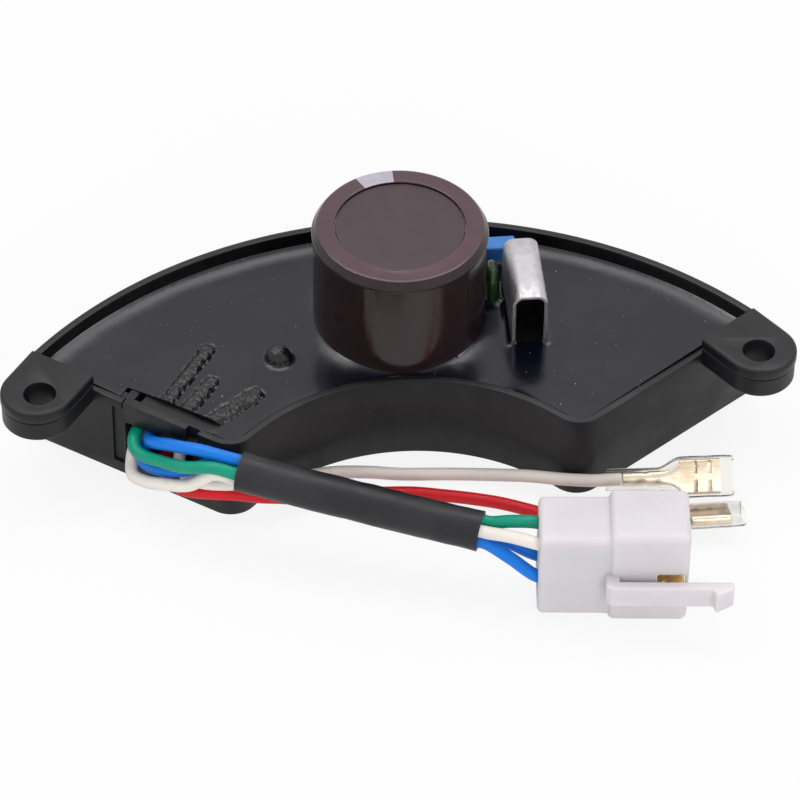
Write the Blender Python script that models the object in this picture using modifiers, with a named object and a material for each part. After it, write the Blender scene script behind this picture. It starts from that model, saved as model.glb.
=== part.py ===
"""Potted automatic voltage regulator for a small generator: crescent tray, smoothing
capacitor, heat sink clip, sleeved harness with a four-way connector and two brush spades.

Z is up and the tray stands on z = 0. X runs along the line of the two mounting holes.
"""
import math

import bpy
import bmesh
from mathutils import Matrix, Vector

MM = 0.001
GAP = 0.3 * MM

# Driving sizes of the crescent tray
HOLE_SPACING = 150 * MM
HOLE_RADIUS = 3.3 * MM
HOLE_LINE_Y = -17 * MM
RIM_RADIUS = 99.1 * MM
RIM_TOP_Y = 31.05 * MM
RECESS_RADIUS = 44.1 * MM
SIDE_ANGLE = math.radians(35.5)
SIDE_CROSSING_X = 58.1 * MM
CORNER_RADIUS = 6.0 * MM
WALL = 1.6 * MM
RIM_WALL = 1.8 * MM
FLOOR = 1.8 * MM
TRAY_TOP = 20.8 * MM
RIM_TOP = 24.9 * MM

# Smoothing capacitor; the recess wall passes just in front of it
CAN_CENTRE = Vector((1.7 * MM, 5.05 * MM))
SLEEVE_RADIUS = 18.2 * MM
SLEEVE_RIM_RADIUS = SLEEVE_RADIUS + 0.35 * MM
SLEEVE_WALL = 0.6 * MM
CAPACITOR_TOP = 46.0 * MM
TOP_ROUNDING = 1.6 * MM
DISC_RADIUS = 13.4 * MM
CAN_WALL = 0.5 * MM
PIN_SPACING = 10 * MM
PIN_RADIUS = 0.75 * MM
CAN_TO_WALL = 0.8 * MM
RECESS_APEX_Y = CAN_CENTRE.y - SLEEVE_RADIUS - CAN_TO_WALL - WALL

# Mounting lugs
LUG_RADIUS = 7.7 * MM
LUG_BOTTOM = 17.5 * MM
LUG_CENTRE = Vector((75.5 * MM, -16.0 * MM))

# Circuit board on its posts
POST_HEIGHT = 3.8 * MM
POST_RADIUS = 2.2 * MM
POSTS = ((-52, -6), (52, -6), (-30, 14.5), (36, 15))
BOARD_THICKNESS = 1.6 * MM
BOARD_INSET = 5.4 * MM
BOARD_BOTTOM = POST_HEIGHT + GAP
BOARD_TOP = BOARD_BOTTOM + BOARD_THICKNESS
SEAT = BOARD_TOP + GAP
LEG_END = 2.9 * MM
LEG_RADIUS = 0.4 * MM

# Heat sink clip and the transistor it holds
CLIP_WIDTH = 7.5 * MM
CLIP_LENGTH = 18.6 * MM
CLIP_TOP = 33.4 * MM
CLIP_SHEET = 0.8 * MM
CLIP_BEND = 2.0 * MM
CLIP_CENTRE = Vector((CAN_CENTRE.x + SLEEVE_RADIUS + 8.25 * MM, 3.5 * MM))

# Wire outlet in the left wall, measured along the wall and inwards from its outer plane
OUTLET_START = -0.2 * MM
OUTLET_END = 19.0 * MM
OUTLET_SILL = 5.0 * MM
WINDOW_START = 0.5 * MM
WINDOW_END = 17.0 * MM
WINDOW_BOTTOM = 7.0 * MM
WINDOW_TOP = 15.4 * MM
FLANGE_START = -1.4 * MM
FLANGE_END = 21.0 * MM
FLANGE_BACK = 4.5 * MM
LEAD_DEPTH = 8.0 * MM

# Harness
LEAD_RADIUS = 1.35 * MM
HARNESS_BORE = 3.8 * MM
HARNESS_RADIUS = 4.2 * MM
BUNDLE_PITCH = 2.15 * MM
BUNDLE_START = math.radians(-20)
BUNDLE_TWIST = math.radians(110)

# Four-way connector
CONNECTOR_YAW = math.radians(-5.5)
CONNECTOR_PLACE = Vector((23.8 * MM, -59.4 * MM, 0))
REAR_LENGTH = 14.3 * MM
REAR_DEPTH = 13.3 * MM
REAR_BOTTOM = 1.0 * MM
REAR_TOP = 22.5 * MM
FRONT_LENGTH = 16.2 * MM
FRONT_DEPTH = 14.8 * MM
FRONT_TOP = 24.0 * MM
FRONT_WALL = 1.5 * MM
TAB_COLUMN = 3.0 * MM
TAB_ROWS = (7.4 * MM, 16.6 * MM)
TAB_WIDTH = 6.3 * MM
TAB_THICKNESS = 0.8 * MM
CHANNEL_WIDTH = 5.0 * MM
CHANNEL_HEIGHT = 7.2 * MM

# Push-on spades of the brush leads
SPADE_WIDTH = 7.4 * MM
SPADE_LENGTH = 8.2 * MM
SPADE_HEIGHT = 2.2 * MM
SPADE_START = 10.6 * MM
CRIMP_START = -1.6 * MM
CRIMP_END = 7.5 * MM
CRIMP_RADIUS = 1.5 * MM
COVER_WALL = 0.4 * MM

for leftover in list(bpy.data.objects):
    bpy.data.objects.remove(leftover)

parts = bpy.data.collections.new("voltage_regulator")
cutters = bpy.data.collections.new("cutters")
bpy.context.scene.collection.children.link(parts)
bpy.context.scene.collection.children.link(cutters)


def material(name, colour, roughness, metallic=0.0):
    """One Principled material for one kind of surface."""
    made = bpy.data.materials.new(name)
    made.use_nodes = True
    shader = made.node_tree.nodes["Principled BSDF"]
    shader.inputs["Base Color"].default_value = (*colour, 1)
    shader.inputs["Roughness"].default_value = roughness
    shader.inputs["Metallic"].default_value = metallic
    return made


BLACK_PLASTIC = material("black_plastic", (0.040, 0.041, 0.047), 0.5)
RESIN = material("potting_resin", (0.045, 0.045, 0.052), 0.25)
BOARD = material("board_laminate", (0.20, 0.12, 0.05), 0.6)
MAROON = material("capacitor_film", (0.055, 0.028, 0.032), 0.3)
ALUMINIUM = material("aluminium", (0.60, 0.60, 0.61), 0.4, 1.0)
GREY_SHEET = material("grey_sheet", (0.58, 0.57, 0.58), 0.45, 0.6)
TINNED = material("tinned_metal", (0.60, 0.55, 0.46), 0.3, 1.0)
BRASS = material("brass", (0.55, 0.34, 0.09), 0.3, 1.0)
RUBBER = material("seal_rubber", (0.03, 0.03, 0.03), 0.7)
FOIL = material("foil_roll", (0.45, 0.42, 0.38), 0.6)
EPOXY = material("component_epoxy", (0.02, 0.02, 0.022), 0.4)
RESISTOR_TAN = material("resistor_coat", (0.35, 0.28, 0.17), 0.5)
BLUE_BOX = material("blue_box", (0.04, 0.20, 0.60), 0.35)
GREEN_DIP = material("green_dip", (0.03, 0.09, 0.03), 0.3)
SLEEVE_BLACK = material("sleeve_black", (0.025, 0.025, 0.03), 0.6)
NYLON = material("milky_nylon", (0.66, 0.62, 0.66), 0.4)
CLEAR_VINYL = material("clear_vinyl", (0.75, 0.73, 0.68), 0.15)
GREEN_WIRE = material("green_wire", (0.005, 0.27, 0.16), 0.4)
BLUE_WIRE = material("blue_wire", (0.02, 0.19, 0.71), 0.4)
WHITE_WIRE = material("white_wire", (0.74, 0.67, 0.60), 0.4)
RED_WIRE = material("red_wire", (0.57, 0.01, 0.02), 0.4)


def place(obj, paint=None, parent=None):
    """Puts an object among the parts, or among the cutters when it has no paint."""
    home = parts if paint else cutters
    for old in list(obj.users_collection):
        old.objects.unlink(obj)
    home.objects.link(obj)
    if paint:
        obj.data.materials.clear()
        obj.data.materials.append(paint)
    else:
        obj.hide_render = True
        obj.display_type = "WIRE"
    if parent:
        obj.parent = parent
    return obj


def smooth(obj, angle=35):
    """Round faces are shaded smooth and real edges stay sharp."""
    obj.data.shade_smooth()
    obj.data.set_sharp_from_angle(angle=math.radians(angle))
    return obj


def curve_to_mesh(name, obj):
    """A mesh object with the curve's shape, its loose caps welded, in the curve's place."""
    bpy.context.view_layer.update()
    evaluated = obj.evaluated_get(bpy.context.evaluated_depsgraph_get())
    mesh = bpy.data.meshes.new_from_object(evaluated)
    matrix = obj.matrix_world.copy()
    bpy.data.objects.remove(obj)
    welded = bmesh.new()
    welded.from_mesh(mesh)
    bmesh.ops.remove_doubles(welded, verts=welded.verts, dist=0.000005)
    bmesh.ops.recalc_face_normals(welded, faces=welded.faces)
    welded.to_mesh(mesh)
    welded.free()
    solid = bpy.data.objects.new(name, mesh)
    solid.matrix_world = matrix
    parts.objects.link(solid)
    return solid


def plate(name, outline, bottom, top, rounding=0.0):
    """A flat outline raised from bottom to top; rounding softens its two long edges."""
    curve = bpy.data.curves.new(name, "CURVE")
    curve.dimensions = "2D"
    curve.fill_mode = "BOTH"
    curve.extrude = (top - bottom) / 2 - rounding
    curve.bevel_depth = rounding
    curve.bevel_resolution = 0
    curve.offset = -rounding
    spline = curve.splines.new("POLY")
    spline.points.add(len(outline) - 1)
    for point, (x, y) in zip(spline.points, outline):
        point.co = (x, y, 0, 1)
    spline.use_cyclic_u = True
    obj = bpy.data.objects.new(name, curve)
    obj.location.z = (top + bottom) / 2
    parts.objects.link(obj)
    return curve_to_mesh(name, obj)


def box(name, low, high, rotation=0.0, pivot=(0, 0)):
    """A block between two corners, turned about a vertical line through pivot."""
    bpy.ops.mesh.primitive_cube_add(size=1)
    obj = bpy.context.object
    obj.name = name
    centre = (Vector(low) + Vector(high)) / 2
    size = Vector(high) - Vector(low)
    turn = Matrix.Translation((*pivot, 0)) @ Matrix.Rotation(rotation, 4, "Z")
    obj.data.transform(turn @ Matrix.Translation(centre) @ Matrix.Diagonal((*size, 1)))
    return obj


def cylinder(name, radius, bottom, top, centre=(0, 0), sides=24):
    """An upright round bar."""
    bpy.ops.mesh.primitive_cylinder_add(vertices=sides, radius=radius, depth=top - bottom)
    obj = bpy.context.object
    obj.name = name
    obj.data.transform(Matrix.Translation((*centre, (top + bottom) / 2)))
    return obj


def rod(name, radius, start, end, sides=16):
    """A round bar between two points."""
    start = Vector(start)
    end = Vector(end)
    bpy.ops.mesh.primitive_cylinder_add(vertices=sides, radius=radius, depth=(end - start).length)
    obj = bpy.context.object
    obj.name = name
    turn = (end - start).to_track_quat("Z", "Y").to_matrix().to_4x4()
    obj.data.transform(Matrix.Translation((start + end) / 2) @ turn)
    return obj


def turned(name, profile, centre=(0, 0), steps=32, closed=True):
    """A profile of (radius, height) points turned about a vertical axis by Screw."""
    mesh = bpy.data.meshes.new(name)
    count = len(profile)
    edges = [(i, i + 1) for i in range(count - 1)]
    if closed:
        edges.append((count - 1, 0))
    mesh.from_pydata([(r, 0, z) for r, z in profile], edges, [])
    obj = bpy.data.objects.new(name, mesh)
    obj.location = (*centre, 0)
    parts.objects.link(obj)
    screw = obj.modifiers.new("Turn", "SCREW")
    screw.steps = steps
    screw.render_steps = steps
    screw.use_merge_vertices = True
    screw.merge_threshold = 0.00001
    screw.use_smooth_shade = True
    return obj


def combine(piece, operation, tools):
    """Cuts or joins each tool in turn with the exact solver."""
    for tool in tools:
        boolean = piece.modifiers.new(tool.name, "BOOLEAN")
        boolean.operation = operation
        boolean.solver = "EXACT"
        boolean.object = place(tool, parent=tool.parent)
    return piece


def cut(piece, *tools):
    return combine(piece, "DIFFERENCE", tools)


def join(piece, *tools):
    return combine(piece, "UNION", tools)


def arc(centre, radius, start, end, segments):
    """Points on an arc, both ends included."""
    steps = [start + (end - start) * i / segments for i in range(segments + 1)]
    return [(centre[0] + radius * math.cos(a), centre[1] + radius * math.sin(a)) for a in steps]


# The right side wall: its outward normal, and its direction up towards the rim
SIDE_NORMAL = Vector((math.sin(SIDE_ANGLE), -math.cos(SIDE_ANGLE)))
SIDE_UP = Vector((math.cos(SIDE_ANGLE), math.sin(SIDE_ANGLE)))
SIDE_DISTANCE = SIDE_NORMAL.dot(Vector((SIDE_CROSSING_X, HOLE_LINE_Y)))
RIM_CENTRE = Vector((0, RIM_TOP_Y - RIM_RADIUS))
RECESS_CENTRE = Vector((0, RECESS_APEX_Y - RECESS_RADIUS))


def along_side(distance, centre, radius):
    """Where the line parallel to the side wall at this distance meets a circle, outer end."""
    foot = SIDE_NORMAL * distance - centre
    half = SIDE_UP.dot(foot)
    reach = -half + math.sqrt(half * half - foot.length_squared + radius * radius)
    return SIDE_NORMAL * distance + SIDE_UP * reach


CORNER_CENTRE = along_side(SIDE_DISTANCE - CORNER_RADIUS, RECESS_CENTRE, RECESS_RADIUS + CORNER_RADIUS)


def crescent(rim_inset, wall_inset):
    """The tray's outline, drawn inwards by one inset at the rim and one at the other walls."""
    radius = RIM_RADIUS - rim_inset
    tip = along_side(SIDE_DISTANCE - wall_inset, RIM_CENTRE, radius) - RIM_CENTRE
    tip_angle = math.atan2(tip.y, tip.x)
    points = arc(RIM_CENTRE, radius, tip_angle, math.pi - tip_angle, 44)
    to_recess = RECESS_CENTRE - CORNER_CENTRE
    start = math.atan2(to_recess.y, to_recess.x)
    end = SIDE_ANGLE - math.pi / 2
    right = arc(CORNER_CENTRE, CORNER_RADIUS - wall_inset, start, end, 6)
    left = [(-x, y) for x, y in reversed(right)]
    first = math.atan2(-to_recess.y, -to_recess.x)
    bend = arc(RECESS_CENTRE, RECESS_RADIUS + wall_inset, math.pi - first, first, 24)
    return points + left + bend[1:-1] + right


def lug_outline(side, radius, overlap):
    """A round-ended tongue square to the side wall, ending a little inside it."""
    inward = Vector((-SIDE_NORMAL.x, -SIDE_NORMAL.y))
    reach = SIDE_NORMAL.dot(LUG_CENTRE) - SIDE_DISTANCE + overlap
    facing = math.atan2(SIDE_NORMAL.y, SIDE_NORMAL.x)
    points = arc(LUG_CENTRE, radius, facing - math.pi / 2, facing + math.pi / 2, 18)
    for x, y in (points[-1], points[0]):
        end = Vector((x, y)) + inward * reach
        points.append((end.x, end.y))
    if side < 0:
        points = [(-x, y) for x, y in reversed(points)]
    return points


# The left wall's own frame: u runs along it towards the corner, v inwards from its outer plane
LEFT_ORIGIN = Vector((-SIDE_CROSSING_X, HOLE_LINE_Y))
LEFT_U = Vector((SIDE_UP.x, -SIDE_UP.y))
LEFT_V = Vector((SIDE_NORMAL.x, -SIDE_NORMAL.y))


def at_wall(u, v, z):
    """A point given along the left wall, inwards from its outer plane, and above the table."""
    flat = LEFT_ORIGIN + LEFT_U * u + LEFT_V * v
    return Vector((flat.x, flat.y, z))


def wall_block(name, low, high):
    """A block set square to the left wall, its corners given in the wall's frame."""
    block = box(name, low, high)
    turn = Matrix.Rotation(math.atan2(LEFT_U.y, LEFT_U.x), 4, "Z")
    block.data.transform(Matrix.Translation((LEFT_ORIGIN.x, LEFT_ORIGIN.y, 0)) @ turn)
    return block


def build_housing():
    """The moulded tray: floor, walls, raised outer rim, two drilled lugs and the board posts."""
    tray = place(plate("housing", crescent(0, 0), 0, RIM_TOP, 0.4 * MM), BLACK_PLASTIC)
    above = plate("above_walls", crescent(RIM_WALL, -8 * MM), TRAY_TOP, RIM_TOP + 5 * MM)
    cavity = plate("tray_cavity", crescent(RIM_WALL, WALL), FLOOR, RIM_TOP + 5 * MM)
    cut(tray, above, cavity)
    for side, label in ((-1, "left"), (1, "right")):
        lug = plate(label + "_lug", lug_outline(side, LUG_RADIUS, GAP), LUG_BOTTOM, RIM_TOP)
        hole = cylinder(label + "_lug_hole", HOLE_RADIUS, LUG_BOTTOM - MM, RIM_TOP + MM,
                        (side * HOLE_SPACING / 2, HOLE_LINE_Y), 32)
        join(tray, lug)
        cut(tray, hole)
    outlet = wall_block("outlet_gap", (OUTLET_START, -MM, OUTLET_SILL),
                        (OUTLET_END, WALL + MM, RIM_TOP))
    shallow = wall_block("outlet_hollow", (OUTLET_START - 2.4 * MM, -MM, FLOOR + 1.5 * MM),
                         (OUTLET_START + MM, 0.5 * MM, TRAY_TOP - 2 * MM))
    cut(tray, outlet, shallow)
    for index, (x, y) in enumerate(POSTS):
        join(tray, cylinder("post_%d" % index, POST_RADIUS, FLOOR - MM, POST_HEIGHT,
                            (x * MM, y * MM), 16))
    return smooth(tray)


def build_insert():
    """The separate frame that closes the wall's wire gap and lets the leads out."""
    flange = place(wall_block("wire_outlet_insert",
                              (FLANGE_START, WALL + GAP, FLOOR + GAP),
                              (FLANGE_END, FLANGE_BACK, TRAY_TOP)), BLACK_PLASTIC)
    plug = wall_block("insert_plug", (OUTLET_START + GAP, 0.2 * MM, OUTLET_SILL + GAP),
                      (OUTLET_END - GAP, WALL + 2 * GAP, TRAY_TOP - 0.05 * MM))
    window = wall_block("insert_window", (WINDOW_START, -MM, WINDOW_BOTTOM),
                        (WINDOW_END, FLANGE_BACK + MM, WINDOW_TOP))
    key = wall_block("insert_key", (FLANGE_START - MM, FLANGE_BACK - 1.2 * MM, FLOOR),
                     (OUTLET_START - 0.2 * MM, FLANGE_BACK + MM, TRAY_TOP + MM))
    join(flange, plug)
    cut(flange, window, key)
    return flange


# Where each lead leaves the resin: along the wall, and above the table
OUTLETS = {
    "green_lead": (2.8, 13.5),
    "blue_upper_lead": (6.2, 13.5),
    "blue_lower_lead": (5.0, 10.7),
    "white_lead": (2.2, 9.0),
    "red_brush_lead": (9.4, 8.8),
    "white_brush_lead": (13.2, 11.4),
}

# The axis of the black harness sleeve, left end first
SLEEVE_ROUTE = ((-35.1, -36.1, 17.8), (-23.1, -40.7, 16.7), (-11.2, -45.0, 15.6),
                (0.8, -49.3, 14.5), (12.8, -53.5, 13.6))

# Between the outlet and the sleeve, along the wall's foot
TO_SLEEVE = {
    "green_lead": ((-56.1, -20.6, 13.6), (-55.9, -22.9, 12.8), (-53.9, -25.3, 12.9),
                   (-51.2, -27.9, 14.0), (-46.4, -32.9, 16.7)),
    "blue_upper_lead": ((-52.9, -21.8, 14.1), (-51.5, -24.3, 15.7), (-49.2, -26.7, 17.4),
                        (-46.9, -28.9, 18.7), (-42.9, -31.5, 19.9)),
    "blue_lower_lead": ((-54.5, -21.1, 10.5), (-54.4, -23.3, 9.9), (-52.9, -25.1, 9.8),
                        (-49.4, -28.0, 11.0), (-44.3, -31.0, 14.3)),
    "white_lead": ((-56.8, -21.2, 7.2), (-56.6, -24.6, 7.1), (-54.2, -27.4, 7.8),
                   (-50.4, -30.4, 9.8), (-45.4, -33.5, 12.6)),
}

# From the sleeve into the connector: column side, row, and the height halfway
TO_CONNECTOR = {
    "green_lead": (1, 1, 4.6, 16.0),
    "blue_upper_lead": (1, 0, 4.6, 9.8),
    "blue_lower_lead": (-1, 0, 0.2, 9.8),
    "white_lead": (-1, 1, 0.2, 16.0),
}
BUNDLE_ANGLES = {
    "green_lead": math.radians(45),
    "blue_upper_lead": math.radians(135),
    "blue_lower_lead": math.radians(225),
    "white_lead": math.radians(315),
}

# The brush leads pass under and behind the sleeve and lie on the table inside the recess
RED_BRUSH_ROUTE = ((-50.2, -24.4, 7.8), (-48.9, -26.9, 7.0), (-46.6, -29.0, 6.4),
                   (-43.0, -31.0, 6.5), (-39.1, -32.8, 7.1), (-35.0, -33.3, 6.8),
                   (-30.8, -32.9, 5.6), (-27.0, -31.6, 4.3), (-22.3, -30.3, 2.9),
                   (-17.0, -29.3, 1.9), (-7.4, -28.6, 1.4), (1.6, -29.2, 1.4),
                   (7.2, -30.4, 1.4), (13.3, -31.9, 1.4), (19.4, -33.8, 1.4),
                   (25.4, -36.6, 1.5), (31.0, -39.6, 1.9), (36.0, -41.8, 2.7))
WHITE_BRUSH_ROUTE = ((-46.9, -26.2, 10.4), (-45.6, -28.5, 9.6), (-43.0, -30.4, 9.6),
                     (-37.5, -33.1, 10.3), (-32.0, -32.4, 9.6), (-26.4, -28.6, 6.6),
                     (-20.0, -24.3, 3.4), (-14.1, -22.1, 1.8), (-6.9, -22.3, 1.4),
                     (-0.7, -23.4, 1.4), (9.8, -24.3, 1.4), (20.1, -26.1, 2.0),
                     (26.2, -29.0, 3.4), (32.2, -32.3, 4.9))

# Where each spade's crimp begins: its place, heading and roll about the lead
SPADE_PLACES = {
    "white_brush_lead": (Vector((46.5, -33.3, 5.6)) * MM, math.radians(-2), math.radians(225)),
    "red_brush_lead": (Vector((47.3, -43.1, 3.4)) * MM, 0.0, math.radians(156)),
}


def at_spade(name, x):
    """A point on the spade's own axis, x from its place."""
    place_point, yaw, roll = SPADE_PLACES[name]
    return place_point + Vector((math.cos(yaw), math.sin(yaw), 0)) * x


def flow(route, spacing):
    """Even points on a smooth curve (centripetal Catmull-Rom) through the route's points."""
    chosen = [Vector(point) for point in route]
    padded = [chosen[0] * 2 - chosen[1]] + chosen + [chosen[-1] * 2 - chosen[-2]]
    fine = []
    for p0, p1, p2, p3 in zip(padded, padded[1:], padded[2:], padded[3:]):
        t1 = (p1 - p0).length ** 0.5
        t2 = t1 + (p2 - p1).length ** 0.5
        t3 = t2 + (p3 - p2).length ** 0.5
        for step in range(16):
            t = t1 + (t2 - t1) * step / 16
            a1 = p0.lerp(p1, t / t1)
            a2 = p1.lerp(p2, (t - t1) / (t2 - t1))
            a3 = p2.lerp(p3, (t - t2) / (t3 - t2))
            b1 = a1.lerp(a2, t / t2)
            b2 = a2.lerp(a3, (t - t1) / (t3 - t1))
            fine.append(b1.lerp(b2, (t - t1) / (t2 - t1)))
    fine.append(chosen[-1])
    lengths = [0.0]
    for a, b in zip(fine, fine[1:]):
        lengths.append(lengths[-1] + (b - a).length)
    count = max(2, round(lengths[-1] / spacing))
    even = []
    index = 0
    for step in range(count + 1):
        target = lengths[-1] * step / count
        while index < len(fine) - 2 and lengths[index + 1] < target:
            index += 1
        share = (target - lengths[index]) / (lengths[index + 1] - lengths[index])
        even.append(fine[index].lerp(fine[index + 1], min(share, 1)))
    return even


def sleeve_axis():
    return flow([Vector(point) * MM for point in SLEEVE_ROUTE], 0.5 * MM)


def bundle_point(angle, share, beyond=0.0):
    """A lead's centre inside the sleeve, where the four leads twist about the sleeve's axis."""
    axis = sleeve_axis()
    index = min(max(round(share * (len(axis) - 1)), 1), len(axis) - 2)
    ahead = (axis[index + 1] - axis[index - 1]).normalized()
    front = ahead.cross(Vector((0, 0, 1))).normalized()
    over = front.cross(ahead)
    turn = angle + BUNDLE_START + BUNDLE_TWIST * share
    centre = axis[round(share * (len(axis) - 1))]
    offset = front * math.cos(turn) + over * math.sin(turn)
    return centre + offset * BUNDLE_PITCH + ahead * beyond


def at_connector(x, y, z):
    """A point in the connector's frame: x towards its mouth, y across it."""
    turned_point = Matrix.Rotation(CONNECTOR_YAW, 3, "Z") @ Vector((x, y, z))
    return CONNECTOR_PLACE + turned_point


def lead_route(name):
    """The whole route of one lead, in metres, from its blind end in the resin."""
    u, z = (value * MM for value in OUTLETS[name])
    start = [at_wall(u, LEAD_DEPTH, z), at_wall(u, LEAD_DEPTH / 2, z), at_wall(u, MM, z)]
    if name in SPADE_PLACES:
        route = RED_BRUSH_ROUTE if name == "red_brush_lead" else WHITE_BRUSH_ROUTE
        end = [at_spade(name, -8.0 * MM), at_spade(name, -5 * MM),
               at_spade(name, CRIMP_START - GAP)]
        return start + [Vector(point) * MM for point in route] + end
    middle = [Vector(point) * MM for point in TO_SLEEVE[name]]
    angle = BUNDLE_ANGLES[name]
    inside = [bundle_point(angle, 0, -5 * MM)]
    inside += [bundle_point(angle, step / 8) for step in range(9)]
    inside += [bundle_point(angle, 1, 1.5 * MM)]
    side, row, half_y, half_z = TO_CONNECTOR[name]
    end = [at_connector(-5.5 * MM, half_y * MM, half_z * MM)]
    for x in (-0.5, 2.5, 7):
        end.append(at_connector(x * MM, side * TAB_COLUMN, TAB_ROWS[row]))
    return start + middle + inside + end


def tube(name, points, radius, paint):
    """A wire along points: one POLY spline with a bevel and filled caps."""
    curve = bpy.data.curves.new(name, "CURVE")
    curve.dimensions = "3D"
    curve.bevel_depth = radius
    curve.bevel_resolution = 2
    curve.use_fill_caps = True
    spline = curve.splines.new("POLY")
    spline.points.add(len(points) - 1)
    for node, point in zip(spline.points, points):
        node.co = (*point, 1)
    obj = bpy.data.objects.new(name, curve)
    parts.objects.link(obj)
    return place(obj, paint)


def build_leads():
    paints = {"green_lead": GREEN_WIRE, "blue_upper_lead": BLUE_WIRE,
              "blue_lower_lead": BLUE_WIRE, "white_lead": WHITE_WIRE,
              "red_brush_lead": RED_WIRE, "white_brush_lead": WHITE_WIRE}
    for name, paint in paints.items():
        tube(name, flow(lead_route(name), 3.8 * MM), LEAD_RADIUS, paint)


def build_harness_sleeve():
    """The black tube that gathers the four connector leads, open at both ends."""
    axis = flow([Vector(point) * MM for point in SLEEVE_ROUTE], 6.5 * MM)
    outer = place(curve_to_mesh("harness_sleeve",
                                tube("sleeve_outside", axis, HARNESS_RADIUS, SLEEVE_BLACK)),
                  SLEEVE_BLACK)
    start = axis[0] * 2 - axis[1]
    end = axis[-1] * 2 - axis[-2]
    long_axis = [axis[0].lerp(start, 0.3)] + axis + [axis[-1].lerp(end, 0.3)]
    bore = curve_to_mesh("sleeve_bore", tube("bore_line", long_axis, HARNESS_BORE, SLEEVE_BLACK))
    cut(outer, bore)
    return smooth(outer)


# Parts buried in the resin: centre x and y, turn, body radius and length, leg spacing
AXIAL_PARTS = {
    "rectifier_diode_1": (-45.0, 4.0, 60, 1.8, 7.6, 12.5, EPOXY),
    "rectifier_diode_2": (-39.5, 6.0, 60, 1.8, 7.6, 12.5, EPOXY),
    "flywheel_diode": (-24.5, 2.0, 75, 2.4, 8.6, 13.5, EPOXY),
    "zener_diode": (42.0, -12.0, 30, 1.3, 4.6, 9.5, EPOXY),
    "dropper_resistor": (42.0, 4.5, 100, 2.5, 12.0, 16.5, RESISTOR_TAN),
    "sensing_resistor": (49.0, 4.5, 100, 1.8, 8.6, 13.0, RESISTOR_TAN),
}


def axial_part(name, x, y, degrees, radius, length, spacing, paint):
    """A diode or resistor lying on the board, its two legs bent down through it."""
    x, y, radius, length, spacing = (value * MM for value in (x, y, radius, length, spacing))
    turn = math.radians(degrees)
    along = Vector((math.cos(turn), math.sin(turn), 0))
    centre = Vector((x, y, SEAT + radius))
    body = place(rod(name, radius, centre - along * length / 2, centre + along * length / 2, 20),
                 paint)
    wire = rod(name + "_wire", 0.8 * LEG_RADIUS, centre - along * (spacing / 2 + LEG_RADIUS / 2),
               centre + along * (spacing / 2 + LEG_RADIUS / 2), 8)
    join(body, wire)
    for side in (-1, 1):
        foot = centre + along * side * spacing / 2
        join(body, cylinder("%s_leg_%d" % (name, side + 1), LEG_RADIUS, LEG_END,
                            centre.z + 0.13 * MM, (foot.x, foot.y), 8))
    return smooth(body)


def leg_places():
    """Every hole that the board needs: x, y and the radius of what passes."""
    places = []
    for x, y, degrees, radius, length, spacing, paint in AXIAL_PARTS.values():
        turn = math.radians(degrees)
        for side in (-1, 1):
            reach = side * spacing / 2 * MM
            places.append((x * MM + reach * math.cos(turn), y * MM + reach * math.sin(turn),
                           LEG_RADIUS))
    for side in (-1, 1):
        places.append((CAN_CENTRE.x + side * PIN_SPACING / 2, CAN_CENTRE.y, PIN_RADIUS))
        places.append((BLUE_CENTRE.x + side * 5 * MM, BLUE_CENTRE.y, LEG_RADIUS))
        places.append((GREEN_CENTRE.x, GREEN_CENTRE.y + side * 2.5 * MM, LEG_RADIUS))
        places.append((SMALL_CAN.x + side * 1.75 * MM, SMALL_CAN.y, LEG_RADIUS))
    for step in (-1, 0, 1):
        places.append((TRANSISTOR.x, TRANSISTOR.y + step * 2.54 * MM, 0.55 * MM))
        places.append((THYRISTOR.x, THYRISTOR.y + step * 2.54 * MM, 0.55 * MM))
    return places


BLUE_CENTRE = Vector((CLIP_CENTRE.x - 6.35 * MM, 21.3 * MM))
BLUE_SIZE = Vector((13.0 * MM, 4.0 * MM, 11.0 * MM))
BLUE_TOP = 25.0 * MM
GREEN_CENTRE = Vector((CLIP_CENTRE.x - 6.15 * MM, 10.2 * MM))
GREEN_SIZE = Vector((3.0 * MM, 7.6 * MM, 11.0 * MM))
GREEN_TOP = 28.3 * MM
SMALL_CAN = Vector((-31.5 * MM, 2.0 * MM))
SMALL_CAN_RADIUS = 4.0 * MM
SMALL_CAN_TOP = 18.0 * MM
TRANSISTOR = CLIP_CENTRE - Vector((0.4 * MM, 0))
THYRISTOR = Vector((56.5 * MM, -1.5 * MM))
POWER_BODY = Vector((4.5 * MM, 10.0 * MM, 9.2 * MM))
POWER_LIFT = 0.6 * MM
POWER_TOP = 20.0 * MM
POWER_TAB = 1.3 * MM


def build_board():
    """The laminate that carries the parts, drilled for every leg."""
    board = place(plate("circuit_board", crescent(BOARD_INSET, BOARD_INSET),
                        BOARD_BOTTOM, BOARD_TOP), BOARD)
    for index, (x, y, radius) in enumerate(leg_places()):
        cut(board, cylinder("board_hole_%02d" % index, radius + GAP, BOARD_BOTTOM - MM,
                            BOARD_TOP + MM, (x, y), 8))
    return board


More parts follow.
